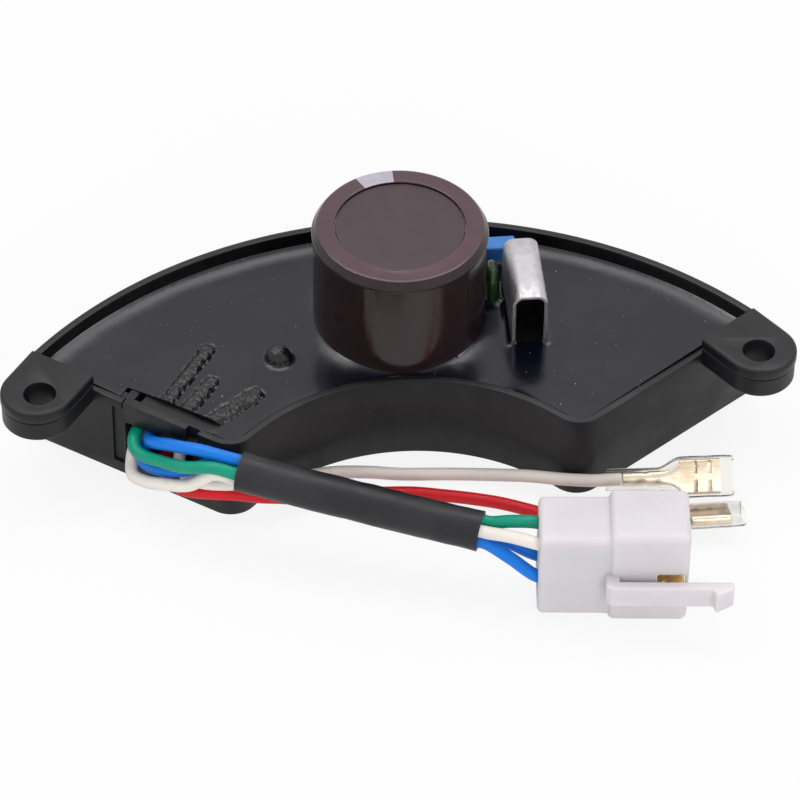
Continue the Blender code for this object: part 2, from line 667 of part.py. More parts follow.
def build_capacitor():
    """The 35 mm snap-in electrolytic: can, wound element, seal, pins, sleeve and end disc."""
    can_radius = SLEEVE_RADIUS - SLEEVE_WALL - GAP
    can_top = CAPACITOR_TOP - SLEEVE_WALL - GAP - 0.3 * MM
    bottom = SEAT + GAP
    inner = can_radius - CAN_WALL
    edge = TOP_ROUNDING
    can = turned("capacitor_can", [
        (0, can_top), (can_radius - edge, can_top), (can_radius - 0.3 * edge, can_top - 0.3 * edge),
        (can_radius, can_top - edge), (can_radius, bottom), (inner, bottom),
        (inner, can_top - edge), (inner - edge, can_top - CAN_WALL), (0, can_top - CAN_WALL)],
        CAN_CENTRE, 40, closed=False)
    place(can, ALUMINIUM)
    seal_top = bottom + 3 * MM
    seal = place(turned("capacitor_seal", [
        (0, seal_top), (inner - GAP, seal_top), (inner - GAP, bottom), (0, bottom)],
        CAN_CENTRE, 32, closed=False), RUBBER)
    winding_bottom = seal_top + 2.5 * MM
    winding_top = can_top - CAN_WALL - 3 * MM
    place(turned("capacitor_winding", [
        (2 * MM, winding_top), (inner - GAP, winding_top), (inner - GAP, winding_bottom),
        (2 * MM, winding_bottom)], CAN_CENTRE, 32), FOIL)
    for side, label in ((-1, "capacitor_pin_left"), (1, "capacitor_pin_right")):
        centre = (CAN_CENTRE.x + side * PIN_SPACING / 2, CAN_CENTRE.y)
        head = seal_top + GAP
        place(turned(label, [
            (0, head + MM), (1.8 * MM, head + MM), (1.8 * MM, head), (PIN_RADIUS, head),
            (PIN_RADIUS, LEG_END), (0, LEG_END)], centre, 16, closed=False), TINNED)
        cut(seal, cylinder(label + "_hole", PIN_RADIUS + GAP, bottom - MM, seal_top + MM,
                           centre, 16))
    inside = SLEEVE_RADIUS - SLEEVE_WALL
    top = CAPACITOR_TOP
    rim = SLEEVE_RIM_RADIUS
    opening = DISC_RADIUS + GAP
    place(turned("capacitor_sleeve", [
        (opening, top - 0.2 * MM), (opening + 0.4 * MM, top), (rim - edge, top - 0.2 * edge),
        (rim - 0.35 * edge, top - 0.5 * edge), (rim, top - 1.2 * edge), (rim, top - 2.2 * edge),
        (SLEEVE_RADIUS, top - 2.8 * edge), (SLEEVE_RADIUS, bottom), (inside, bottom),
        (inside, top - edge), (inside - 0.4 * edge, top - SLEEVE_WALL - 0.3 * edge),
        (inside - edge, top - SLEEVE_WALL), (opening, top - SLEEVE_WALL)],
        CAN_CENTRE, 48), MAROON)
    disc_bottom = can_top + GAP
    place(turned("capacitor_end_disc", [
        (0, top - 0.4 * MM), (DISC_RADIUS, top - 0.4 * MM), (DISC_RADIUS, disc_bottom),
        (0, disc_bottom)], CAN_CENTRE, 40, closed=False), MAROON)


def build_clip():
    """The folded sheet that stands over the transistor and carries its heat away."""
    half = CLIP_WIDTH / 2
    height = CLIP_TOP - SEAT
    outer = arc((half - CLIP_BEND, height - CLIP_BEND), CLIP_BEND, 0, math.pi / 2, 5)
    inner = arc((half - CLIP_BEND, height - CLIP_BEND), CLIP_BEND - CLIP_SHEET,
                math.pi / 2, 0, 4)
    right = [(half, 0)] + outer
    left = [(-x, y) for x, y in reversed(right)]
    inner_right = inner + [(half - CLIP_SHEET, 0)]
    inner_left = [(-x, y) for x, y in reversed(inner_right)]
    fold = plate("heat_sink_clip", right + left + inner_left + inner_right,
                 -CLIP_LENGTH / 2, CLIP_LENGTH / 2)
    fold.data.transform(Matrix.Translation((CLIP_CENTRE.x, CLIP_CENTRE.y, SEAT))
                        @ Matrix.Rotation(math.radians(90), 4, "X"))
    return smooth(place(fold, GREY_SHEET), 20)


def power_part(name, centre, paint):
    """A flat-backed power package standing on its three legs."""
    low = Vector((centre.x - POWER_BODY.x / 2, centre.y - POWER_BODY.y / 2, SEAT + POWER_LIFT))
    high = low + POWER_BODY
    body = place(box(name, low, high), paint)
    tab = box(name + "_tab", (low.x, low.y, high.z - MM), (low.x + POWER_TAB, high.y, POWER_TOP))
    eye = rod(name + "_eye", 1.5 * MM, (low.x - MM, centre.y, POWER_TOP - 2.3 * MM),
              (high.x, centre.y, POWER_TOP - 2.3 * MM), 16)
    join(body, tab)
    cut(body, eye)
    for step in (-1, 0, 1):
        y = centre.y + step * 2.54 * MM
        join(body, box("%s_leg_%d" % (name, step + 1),
                       (centre.x - 0.25 * MM, y - 0.4 * MM, LEG_END),
                       (centre.x + 0.25 * MM, y + 0.4 * MM, low.z + MM)))
    return body


def legged(body, legs):
    """Joins round legs, from inside the body down through the board."""
    for index, (x, y, top) in enumerate(legs):
        join(body, cylinder("%s_leg_%d" % (body.name, index), LEG_RADIUS, LEG_END, top,
                            (x, y), 10))
    return body


def build_small_capacitors():
    """The two film capacitors that stand out of the resin, and the small one buried in it."""
    half = BLUE_SIZE / 2
    blue = place(box("film_capacitor_blue",
                     (BLUE_CENTRE.x - half.x, BLUE_CENTRE.y - half.y, BLUE_TOP - BLUE_SIZE.z),
                     (BLUE_CENTRE.x + half.x, BLUE_CENTRE.y + half.y, BLUE_TOP)), BLUE_BOX)
    bevel = blue.modifiers.new("Edges", "BEVEL")
    bevel.width = 0.5 * MM
    bevel.segments = 2
    legged(blue, [(BLUE_CENTRE.x + side * 5 * MM, BLUE_CENTRE.y, BLUE_TOP - 6 * MM)
                  for side in (-1, 1)])
    bpy.ops.mesh.primitive_uv_sphere_add(segments=20, ring_count=12, radius=0.5)
    green = bpy.context.object
    green.name = "film_capacitor_green"
    for vertex in green.data.vertices:
        for axis, power in ((0, 0.7), (1, 0.6), (2, 0.7)):
            value = vertex.co[axis] * 2
            vertex.co[axis] = math.copysign(abs(value) ** power, value) / 2
    green.data.transform(
        Matrix.Translation((GREEN_CENTRE.x, GREEN_CENTRE.y, GREEN_TOP - GREEN_SIZE.z / 2))
        @ Matrix.Diagonal((*GREEN_SIZE, 1)))
    smooth(place(green, GREEN_DIP))
    legged(green, [(GREEN_CENTRE.x, GREEN_CENTRE.y + side * 2.5 * MM, GREEN_TOP - 8 * MM)
                   for side in (-1, 1)])
    small = place(turned("small_electrolytic", [
        (0, SMALL_CAN_TOP), (SMALL_CAN_RADIUS - 0.5 * MM, SMALL_CAN_TOP),
        (SMALL_CAN_RADIUS, SMALL_CAN_TOP - 0.5 * MM), (SMALL_CAN_RADIUS, SEAT + 2 * MM),
        (SMALL_CAN_RADIUS - 0.5 * MM, SEAT + 1.5 * MM), (SMALL_CAN_RADIUS, SEAT + MM),
        (SMALL_CAN_RADIUS, SEAT), (0, SEAT)], SMALL_CAN, 20, closed=False), ALUMINIUM)
    legged(small, [(side * 1.75 * MM, 0, SEAT + MM) for side in (-1, 1)])
    for modifier in small.modifiers:
        if modifier.type == "BOOLEAN":
            modifier.object.location = (SMALL_CAN.x, SMALL_CAN.y, 0)


# Low humps that the resin left on its surface: both ends, and the width
RIDGES = (((-48.9, -17.6), (-39.1, -2.7), 2.4),
          ((-44.6, -21.3), (-39.2, -12.4), 2.2),
          ((-40.2, -25.8), (-30.6, -17.4), 2.8))
BUMP = Vector((-24.8 * MM, -6.3 * MM))
BUMP_RADIUS = 2.85 * MM
BUMP_HEIGHT = 2.6 * MM


def build_potting():
    """The resin block, poured to the top of the walls and open from below for what it holds."""
    inset = WALL + GAP
    resin = place(plate("potting_compound", crescent(RIM_WALL + GAP, inset),
                        FLOOR + GAP, TRAY_TOP), RESIN)
    for index, (start, end, width) in enumerate(RIDGES):
        a = Vector((*start, 0)) * MM
        b = Vector((*end, 0)) * MM
        a.z = b.z = TRAY_TOP - width * 0.22 * MM
        join(resin, rod("ridge_%d" % index, width / 2 * MM, a, b, 12))
    below = FLOOR - MM
    cut(resin, plate("under_board", crescent(BOARD_INSET - GAP, BOARD_INSET - GAP), below, SEAT))
    cut(resin, cylinder("can_well", SLEEVE_RADIUS + GAP, below, TRAY_TOP + 5 * MM,
                        CAN_CENTRE, 48))
    cut(resin, wall_block("insert_seat", (FLANGE_START - GAP, -MM, below),
                          (FLANGE_END + GAP, FLANGE_BACK + GAP, TRAY_TOP + MM)))
    for x, y, degrees, radius, length, spacing, paint in AXIAL_PARTS.values():
        reach = (spacing / 2 + 0.4) * MM + GAP
        side = radius * MM + GAP
        cut(resin, box("buried_pocket", (-reach, -side, SEAT - MM),
                       (reach, side, SEAT + 2 * radius * MM + GAP),
                       math.radians(degrees), (x * MM, y * MM)))
    for centre in (TRANSISTOR, THYRISTOR):
        half = POWER_BODY / 2
        cut(resin, box("power_pocket",
                       (centre.x - half.x - GAP, centre.y - half.y - GAP, SEAT - MM),
                       (centre.x + half.x + GAP, centre.y + half.y + GAP, POWER_TOP + GAP)))
    cut(resin, cylinder("small_can_well", SMALL_CAN_RADIUS + GAP, SEAT - MM,
                        SMALL_CAN_TOP + GAP, SMALL_CAN, 20))
    half = BLUE_SIZE / 2
    cut(resin, box("blue_well",
                   (BLUE_CENTRE.x - half.x - GAP, BLUE_CENTRE.y - half.y - GAP, SEAT - MM),
                   (BLUE_CENTRE.x + half.x + GAP, BLUE_CENTRE.y + half.y + GAP, 30 * MM)))
    half = GREEN_SIZE / 2
    cut(resin, box("green_well",
                   (GREEN_CENTRE.x - half.x - GAP, GREEN_CENTRE.y - half.y - GAP, SEAT - MM),
                   (GREEN_CENTRE.x + half.x + GAP, GREEN_CENTRE.y + half.y + GAP, 30 * MM)))
    for side in (-1, 1):
        middle = CLIP_CENTRE.x + side * (CLIP_WIDTH - CLIP_SHEET) / 2
        reach = CLIP_SHEET / 2 + GAP
        cut(resin, box("clip_slot",
                       (middle - reach, CLIP_CENTRE.y - CLIP_LENGTH / 2 - GAP, SEAT - MM),
                       (middle + reach, CLIP_CENTRE.y + CLIP_LENGTH / 2 + GAP, 30 * MM)))
    for name, (u, z) in OUTLETS.items():
        cut(resin, rod(name + "_socket", LEAD_RADIUS + GAP,
                       at_wall(u * MM, FLANGE_BACK - MM, z * MM),
                       at_wall(u * MM, LEAD_DEPTH + GAP, z * MM), 16))
    bpy.ops.mesh.primitive_uv_sphere_add(segments=20, ring_count=10, radius=1)
    bump = bpy.context.object
    bump.name = "bump"
    bump.data.transform(Matrix.Translation((BUMP.x, BUMP.y, TRAY_TOP - 0.2 * MM))
                        @ Matrix.Diagonal((BUMP_RADIUS, BUMP_RADIUS, BUMP_HEIGHT + 0.2 * MM, 1)))
    join(resin, bump)
    return smooth(resin)


def build_connector():
    """The nylon connector body with its latch, and the four tab terminals inside it."""
    frame = bpy.data.objects.new("connector_frame", None)
    frame.location = CONNECTOR_PLACE
    frame.rotation_euler.z = CONNECTOR_YAW
    parts.objects.link(frame)
    mouth = REAR_LENGTH + FRONT_LENGTH
    body = place(box("connector_housing", (0, -REAR_DEPTH / 2, REAR_BOTTOM),
                     (REAR_LENGTH + MM, REAR_DEPTH / 2, REAR_TOP)), NYLON, frame)
    bevel = body.modifiers.new("Edges", "BEVEL")
    bevel.width = 0.6 * MM
    bevel.segments = 2
    shroud = box("connector_shroud", (REAR_LENGTH, -FRONT_DEPTH / 2, 0),
                 (mouth, FRONT_DEPTH / 2, FRONT_TOP))
    shroud.parent = frame
    bevel = shroud.modifiers.new("Edges", "BEVEL")
    bevel.width = 0.6 * MM
    bevel.segments = 2
    reach = FRONT_DEPTH / 2
    latch = plate("connector_latch", [(x * MM, -reach - y * MM) for x, y in (
        (13.6, -1.0), (16.4, -1.0), (16.4, 1.9), (39.5, 1.9), (39.5, 3.2), (35.9, 5.3),
        (35.2, 3.5), (14.8, 3.5), (13.6, 2.4))], 7.7 * MM, 13.2 * MM)
    latch.parent = frame
    join(body, shroud, latch)
    inside = FRONT_DEPTH / 2 - FRONT_WALL
    bay = box("connector_bay", (REAR_LENGTH + 0.7 * MM, -inside, FRONT_WALL),
              (mouth + MM, inside, FRONT_TOP - FRONT_WALL))
    window = box("connector_window", (23.3 * MM, -reach - MM, 8.0 * MM),
                 (28.7 * MM, -inside + MM, 13.2 * MM))
    bay.parent = frame
    window.parent = frame
    cut(body, bay, window)
    for column in (-1, 1):
        for row in TAB_ROWS:
            y = column * TAB_COLUMN
            channel = box("connector_channel", (-MM, y - CHANNEL_WIDTH / 2, row - CHANNEL_HEIGHT / 2),
                          (REAR_LENGTH + 2 * MM, y + CHANNEL_WIDTH / 2, row + CHANNEL_HEIGHT / 2))
            channel.parent = frame
            cut(body, channel)
    smooth(body)
    names = {(-1, 0): "tab_terminal_1", (1, 0): "tab_terminal_2",
             (-1, 1): "tab_terminal_3", (1, 1): "tab_terminal_4"}
    for (column, row), name in names.items():
        y = column * TAB_COLUMN
        z = TAB_ROWS[row]
        barrel = place(rod(name, LEAD_RADIUS + GAP + 0.35 * MM, (3.0 * MM, y, z),
                           (9.5 * MM, y, z), 16), BRASS, frame)
        neck = box(name + "_neck", (8.6 * MM, y - TAB_THICKNESS / 2, z - 1.9 * MM),
                   (13 * MM, y + TAB_THICKNESS / 2, z + 1.9 * MM))
        blade = box(name + "_blade", (12 * MM, y - TAB_THICKNESS / 2, z - TAB_WIDTH / 2),
                    (27.2 * MM, y + TAB_THICKNESS / 2, z + TAB_WIDTH / 2))
        bore = rod(name + "_bore", LEAD_RADIUS + GAP, (2 * MM, y, z), (7.4 * MM, y, z), 16)
        for tool in (neck, blade, bore):
            tool.parent = frame
        join(barrel, neck, blade)
        cut(barrel, bore)
        smooth(barrel)


def ring(x, half_width, half_height, roundness, count):
    """One rounded-rectangle section of a cover, at x along the lead."""
    points = []
    for step in range(count):
        angle = 2 * math.pi * (step + 0.5) / count
        c = math.cos(angle)
        s = math.sin(angle)
        points.append((x, half_width * math.copysign(abs(c) ** roundness, c),
                       half_height * math.copysign(abs(s) ** roundness, s)))
    return points


# Sections of the clear cover: x, half width, half height, roundness of its corners
COVER_SECTIONS = ((-5.0, 2.3, 2.3, 1.0), (6.0, 2.35, 2.3, 1.0), (8.5, 3.2, 2.1, 0.75),
                  (11.0, 4.35, 1.7, 0.45), (22.0, 4.35, 1.7, 0.4))


def build_cover(name, frame):
    """The clear push-on cover: a loft from the lead's round to the spade's flat section."""
    mesh = bpy.data.meshes.new(name)
    made = bmesh.new()
    count = 20
    rings = []
    outer = COVER_SECTIONS
    inner = tuple(reversed(COVER_SECTIONS))
    for inset, sections in ((0, outer), (COVER_WALL, inner)):
        for x, wide, high, roundness in sections:
            points = ring(x * MM, wide * MM - inset, high * MM - inset, roundness, count)
            rings.append([made.verts.new(point) for point in points])
    for first, second in zip(rings, rings[1:] + rings[:1]):
        for i in range(count):
            j = (i + 1) % count
            made.faces.new((first[i], first[j], second[j], second[i]))
    bmesh.ops.recalc_face_normals(made, faces=made.faces)
    made.to_mesh(mesh)
    made.free()
    cover = bpy.data.objects.new(name, mesh)
    parts.objects.link(cover)
    return smooth(place(cover, CLEAR_VINYL, frame), 50)


def build_spade(name, location, yaw, roll):
    """A 6.3 mm push-on receptacle: crimp, neck and a plate with both edges rolled over."""
    frame = bpy.data.objects.new(name + "_frame", None)
    frame.location = location
    frame.rotation_euler = (roll, 0, yaw)
    parts.objects.link(frame)
    half = SPADE_WIDTH / 2
    sheet = TAB_THICKNESS / 2
    high = SPADE_HEIGHT
    lip = 0.6 * MM
    right = [(half - 0.5 * MM, 0), (half, 0.5 * MM), (half, high - 0.5 * MM),
             (half - 0.5 * MM, high), (lip, high), (lip, high - sheet),
             (half - sheet, high - sheet), (half - sheet, sheet)]
    left = [(-x, y) for x, y in reversed(right)]
    blade = plate(name, right + left, 0, SPADE_LENGTH)
    blade.matrix_world = Matrix()
    blade.data.transform(Matrix(((0, 0, 1, SPADE_START + SPADE_LENGTH / 2),
                                 (1, 0, 0, 0), (0, 1, 0, -high / 2), (0, 0, 0, 1))))
    place(blade, TINNED, frame)
    neck = box(name + "_neck", (CRIMP_END - 2 * MM, -1.4 * MM, -high / 2),
               (SPADE_START + 2 * MM, 1.4 * MM, -high / 2 + sheet))
    crimp = rod(name + "_crimp", CRIMP_RADIUS, (CRIMP_START, 0, 0), (CRIMP_END, 0, 0), 16)
    slots = []
    for row, x in enumerate((13.2, 16.2)):
        for side in (-1, 1):
            slots.append(box("%s_slot_%d_%d" % (name, row, side + 1),
                             (x * MM, side * 2.0 * MM - 1.1 * MM, -high),
                             ((x + 0.9) * MM, side * 2.0 * MM + 1.1 * MM, -0.3 * MM)))
    for tool in (neck, crimp, *slots):
        tool.parent = frame
    join(blade, neck, crimp)
    cut(blade, *slots)
    smooth(blade)
    return frame


def build_brush_ends():
    """The spade and clear cover on each of the two leads that go to the brushes."""
    for lead, spade, cover in (("white_brush_lead", "white_spade", "white_spade_cover"),
                               ("red_brush_lead", "red_spade", "red_spade_cover")):
        build_cover(cover, build_spade(spade, *SPADE_PLACES[lead]))


build_housing()
build_insert()
build_board()
build_capacitor()
build_clip()
power_part("power_transistor", TRANSISTOR, EPOXY)
power_part("trigger_thyristor", THYRISTOR, EPOXY)
for part_name, values in AXIAL_PARTS.items():
    axial_part(part_name, *values)
build_small_capacitors()
build_potting()
build_connector()
build_leads()
build_harness_sleeve()
build_brush_ends()
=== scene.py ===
"""Looks of the potted voltage regulator: detailed pieces and materials round its CAD frame."""
from math import atan2, copysign, cos, degrees, exp, hypot, pi, radians, sin, sqrt

import bmesh
import bpy
from mathutils import Matrix, Vector
from mathutils.geometry import delaunay_2d_cdt
from mathutils.noise import noise


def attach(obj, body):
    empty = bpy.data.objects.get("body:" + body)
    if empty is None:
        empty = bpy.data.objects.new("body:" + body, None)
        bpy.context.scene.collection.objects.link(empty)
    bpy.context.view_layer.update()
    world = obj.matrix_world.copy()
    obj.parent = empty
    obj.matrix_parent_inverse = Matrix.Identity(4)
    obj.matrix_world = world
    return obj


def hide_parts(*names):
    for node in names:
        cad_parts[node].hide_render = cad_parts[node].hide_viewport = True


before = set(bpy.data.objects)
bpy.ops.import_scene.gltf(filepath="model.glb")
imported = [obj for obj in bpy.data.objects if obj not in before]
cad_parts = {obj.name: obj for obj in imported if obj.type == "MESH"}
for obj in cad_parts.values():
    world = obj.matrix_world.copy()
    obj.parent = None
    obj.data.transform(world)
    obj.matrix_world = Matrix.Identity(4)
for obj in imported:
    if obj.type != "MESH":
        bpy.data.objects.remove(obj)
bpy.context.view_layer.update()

MM = 0.001
scene = bpy.context.scene
scene.view_settings.view_transform = "Standard"


def add(name, data):
    """A new object, linked to the scene."""
    obj = bpy.data.objects.new(name, data)
    scene.collection.objects.link(obj)
    return obj


# Camera, fitted to the photograph (millimetres, principal point in the middle)
CAMERA_TARGET = Vector((1.671, 0.403, 0.0))
CAMERA_DISTANCE = 989.6
AZIMUTH, ELEVATION, ROLL = (radians(a) for a in (-6.154, 43.820, 0.809))
back = Vector((sin(AZIMUTH) * cos(ELEVATION),
               -cos(AZIMUTH) * cos(ELEVATION), sin(ELEVATION)))
right = Vector((cos(AZIMUTH), sin(AZIMUTH), 0))
up = back.cross(right)
image_right = right * cos(ROLL) + up * sin(ROLL)
image_up = up * cos(ROLL) - right * sin(ROLL)
camera = add("camera", bpy.data.cameras.new("camera"))
camera.matrix_world = Matrix.Translation((CAMERA_TARGET + back * CAMERA_DISTANCE) * MM) @ Matrix(
    (image_right, image_up, back)).transposed().to_4x4()
camera.data.sensor_width = 36
camera.data.lens = 208.1
camera.data.clip_start = 0.01
camera.data.clip_end = 50
scene.camera = camera


# Materials
def calculate(nodes, links, kind, first, second):
    """A Math node on two values, each a number or another node's output."""
    node = nodes.new("ShaderNodeMath")
    node.operation = kind
    for socket, value in zip(node.inputs, (first, second)):
        if isinstance(value, (int, float)):
            socket.default_value = value
        else:
            links.new(value, socket)
    return node.outputs[0]


def dial(node, **values):
    """Sets a shader node's inputs, their names written with _ for each space."""
    for key, value in values.items():
        node.inputs[key.replace("_", " ")].default_value = value
    return node


class Paint:
    """A Principled material whose detail comes from noise in the object's own metres."""

    def __init__(self, name, colour, roughness, metallic=0.0, **sockets):
        self.material = bpy.data.materials.new(name)
        self.material.use_nodes = True
        self.nodes = self.material.node_tree.nodes
        self.links = self.material.node_tree.links
        self.shader = self.nodes["Principled BSDF"]
        self.colour = (*colour, 1)
        dial(self.shader, Base_Color=self.colour, Roughness=roughness, Metallic=metallic,
             **sockets)
        self.where = self.nodes.new("ShaderNodeTexCoord").outputs["Object"]
        self.now = None
        self.normal = None

    def noise(self, scale, detail, stretch):
        where = self.where
        if stretch:
            mapping = dial(self.nodes.new("ShaderNodeMapping"), Scale=stretch)
            self.links.new(where, mapping.inputs["Vector"])
            where = mapping.outputs["Vector"]
        node = dial(self.nodes.new("ShaderNodeTexNoise"), Scale=scale, Detail=detail)
        self.links.new(where, node.inputs["Vector"])
        return node.outputs["Fac"]

    def ramp(self, value, low, high, to_low=0.0, to_high=1.0):
        node = dial(self.nodes.new("ShaderNodeMapRange"), From_Min=low, From_Max=high,
                    To_Min=to_low, To_Max=to_high)
        node.interpolation_type = "SMOOTHSTEP"
        self.links.new(value, node.inputs["Value"])
        return node.outputs["Result"]

    def specks(self, scale, radius, share):
        """Round specks of this radius in cells of 1/scale metres, in this share of the cells."""
        node = dial(self.nodes.new("ShaderNodeTexVoronoi"), Scale=scale)
        self.links.new(self.where, node.inputs["Vector"])
        spot = self.ramp(node.outputs["Distance"], radius * scale * 0.5, radius * scale, 1, 0)
        split = self.nodes.new("ShaderNodeSeparateColor")
        self.links.new(node.outputs["Color"], split.inputs[0])
        chosen = self.ramp(split.outputs[0], 1 - share, 1 - share + 0.01)
        return calculate(self.nodes, self.links, "MULTIPLY", spot, chosen)

    def tint(self, factor, colour):
        """Mixes this colour over what is there already."""
        node = self.nodes.new("ShaderNodeMix")
        node.data_type = "RGBA"
        self.links.new(factor, node.inputs[0])
        if self.now:
            self.links.new(self.now, node.inputs[6])
        else:
            node.inputs[6].default_value = self.colour
        node.inputs[7].default_value = (*colour, 1)
        self.now = node.outputs[2]
        self.links.new(self.now, self.shader.inputs["Base Color"])

    def cloud(self, colour, scale, detail, low, high, share=1.0, stretch=None):
        """Mixes this colour in from none where the noise is at low to share at high."""
        self.tint(self.ramp(self.noise(scale, detail, stretch), low, high, 0, share), colour)

    def rough(self, scale, detail, low, high, stretch=None):
        """Roughness that goes from low to high with the noise."""
        value = self.ramp(self.noise(scale, detail, stretch), 0.3, 0.7, low, high)
        self.links.new(value, self.shader.inputs["Roughness"])

    def bump(self, scale, detail, distance, strength, stretch=None):
        node = dial(self.nodes.new("ShaderNodeBump"), Distance=distance, Strength=strength)
        self.links.new(self.noise(scale, detail, stretch), node.inputs["Height"])
        if self.normal:
            self.links.new(self.normal, node.inputs["Normal"])
        self.normal = node.outputs["Normal"]
        self.links.new(self.normal, self.shader.inputs["Normal"])


def black_plastic():
    p = Paint("black_moulding", (0.004, 0.004, 0.005), 0.42, Specular_IOR_Level=0.34)
    p.cloud((0.009, 0.009, 0.011), 60, 3, 0.35, 0.7)
    p.cloud((0.030, 0.030, 0.034), 900, 2, 0.66, 0.78, 0.5)
    p.tint(p.specks(420, 0.00012, 0.05), (0.16, 0.16, 0.16))
    p.rough(140, 4, 0.34, 0.48)
    p.bump(3200, 2, 0.00004, 0.4)
    p.bump(260, 3, 0.00006, 0.25)
    return p.material


def shaded_gloss_black():
    """The drawn, smoother inner faces of the rim and the walls, in a darker black than the outer
    faces as painted shade.
    """
    p = Paint("black_moulding_smooth_shaded", (0.003, 0.003, 0.003), 0.26, Specular_IOR_Level=0.35)
    p.cloud((0.005, 0.005, 0.006), 300, 3, 0.4, 0.75, 1.0, (1, 1, 0.2))
    p.rough(200, 3, 0.20, 0.34)
    p.bump(500, 3, 0.00005, 0.3, (1, 1, 0.2))
    return p.material


def resin_paint():
    p = Paint("potting_resin", (0.003, 0.003, 0.008), 0.17, IOR=1.49)
    p.cloud((0.005, 0.005, 0.013), 45, 3, 0.35, 0.7)
    p.tint(p.specks(300, 0.00021, 0.35), (0.34, 0.34, 0.36))
    p.tint(p.specks(640, 0.00015, 0.30), (0.15, 0.15, 0.17))
    p.rough(90, 4, 0.13, 0.22)
    p.bump(1500, 2, 0.00002, 0.3)
    return p.material


def rough_resin():
    p = Paint("rough_resin", (0.004, 0.004, 0.005), 0.2, IOR=1.5, Specular_IOR_Level=0.42)
    p.tint(p.specks(1500, 0.00016, 0.2), (0.03, 0.03, 0.033))
    p.tint(p.specks(1100, 0.00013, 0.08), (0.24, 0.24, 0.26))
    p.rough(600, 3, 0.08, 0.24)
    p.bump(1500, 3, 0.00022, 0.7)
    return p.material


def film_paint(name, colour, other, level=0.5):
    """Maroon shrink film with the slight waves that shrinking leaves."""
    p = Paint(name, colour, 0.2, IOR=1.52, Specular_IOR_Level=level)
    p.cloud(other, 120, 3, 0.35, 0.7)
    p.tint(p.specks(700, 0.00008, 0.05), (0.25, 0.20, 0.20))
    p.rough(150, 4, 0.13, 0.24)
    p.bump(90, 3, 0.0002, 0.12, (1, 1, 0.35))
    p.bump(2600, 2, 0.00002, 0.3)
    return p.material


def metal_paint(name, colour, roughness, stretch, stain=None):
    p = Paint(name, colour, roughness, 1.0)
    p.cloud(tuple(c * 0.88 for c in colour), 420, 4, 0.35, 0.75, 1.0, stretch)
    if stain:
        p.cloud(stain, 180, 3, 0.45, 0.75, 0.7)
    p.rough(800, 3, roughness * 0.8, roughness * 1.3, stretch)
    p.bump(900, 3, 0.00004, 0.5, stretch)
    return p.material


def wire_paint(name, colour, dirt):
    p = Paint(name, colour, 0.36, IOR=1.45, Specular_IOR_Level=0.38)
    p.cloud(tuple(c * 0.90 for c in colour), 130, 3, 0.3, 0.75, 0.8)
    p.cloud(dirt, 500, 4, 0.58, 0.78, 0.35)
    p.rough(300, 3, 0.28, 0.44)
    p.bump(700, 3, 0.00008, 0.25)
    return p.material


def plain_paint(name, colour, roughness, other, scale=300, level=0.5):
    p = Paint(name, colour, roughness, Specular_IOR_Level=level)
    p.cloud(other, scale, 4, 0.35, 0.7)
    p.rough(scale * 2, 3, roughness * 0.85, min(1, roughness * 1.2))
    p.bump(scale * 5, 3, 0.00005, 0.4)
    return p.material


def nylon_paint():
    p = Paint("milky_nylon", (0.67, 0.62, 0.65), 0.34, IOR=1.5,
              Subsurface_Weight=0.6, Subsurface_Scale=0.005, Subsurface_Radius=(1.0, 0.8, 0.75))
    p.cloud((0.70, 0.66, 0.69), 70, 3, 0.3, 0.7)
    p.cloud((0.62, 0.56, 0.55), 340, 3, 0.62, 0.8, 0.4)
    p.rough(200, 3, 0.28, 0.42)
    p.bump(900, 3, 0.00004, 0.4)
    return p.material


def vinyl_paint():
    p = Paint("clear_vinyl", (0.97, 0.96, 0.94), 0.08, IOR=1.25, Transmission_Weight=0.97)
    p.rough(300, 3, 0.05, 0.14)
    p.bump(260, 3, 0.0002, 0.25, (0.5, 1, 1))
    return p.material


BLACK = black_plastic()
# A darker black for the housing's inner faces: partly their smoother finish, partly painted shade.
SHADED_SMOOTH_BLACK = shaded_gloss_black()
RESIN = resin_paint()
ROUGH_RESIN = rough_resin()
FILM = film_paint("capacitor_film", (0.016, 0.0075, 0.009), (0.021, 0.010, 0.012), 0.42)
# A lighter film colour for the rim's top faces: painted light from the lamps above, with their
# sheen.
FILM_LIT_TOP = film_paint("capacitor_film_lit_top", (0.066, 0.030, 0.040), (0.077, 0.035, 0.048))
DISC = plain_paint("capacitor_disc", (0.037, 0.017, 0.024), 0.42, (0.043, 0.021, 0.029), 200)
FILM_BEAD = film_paint("capacitor_film_bead", (0.014, 0.006, 0.008), (0.022, 0.010, 0.013), 0.34)
# Near-black with almost no shine: painted shade, for the clip's inner faces and the resin under
# the clip.
PAINTED_SHADE_BLACK = plain_paint("clip_inside_painted_shade", (0.004, 0.004, 0.005), 0.8, (0.008, 0.008, 0.009),
                      level=0.04)
SLEEVE = plain_paint("sleeve_black", (0.009, 0.009, 0.011), 0.42, (0.017, 0.017, 0.020), 120, 0.4)
PATCH = plain_paint("capacitor_patch", (0.42, 0.39, 0.46), 0.3, (0.46, 0.43, 0.50), 200)
CLIP = metal_paint("clip_sheet", (0.52, 0.50, 0.52), 0.46, (2, 1.6, 2))
TINNED = metal_paint("tinned_metal", (0.80, 0.70, 0.56), 0.32, (0.5, 3, 3), (0.62, 0.46, 0.29))
BRASS = metal_paint("terminal_brass", (0.78, 0.56, 0.20), 0.3, (0.5, 3, 3), (0.6, 0.38, 0.12))
CAN_METAL = metal_paint("can_aluminium", (0.62, 0.62, 0.63), 0.4, (1, 1, 6))
NYLON = nylon_paint()
VINYL = vinyl_paint()
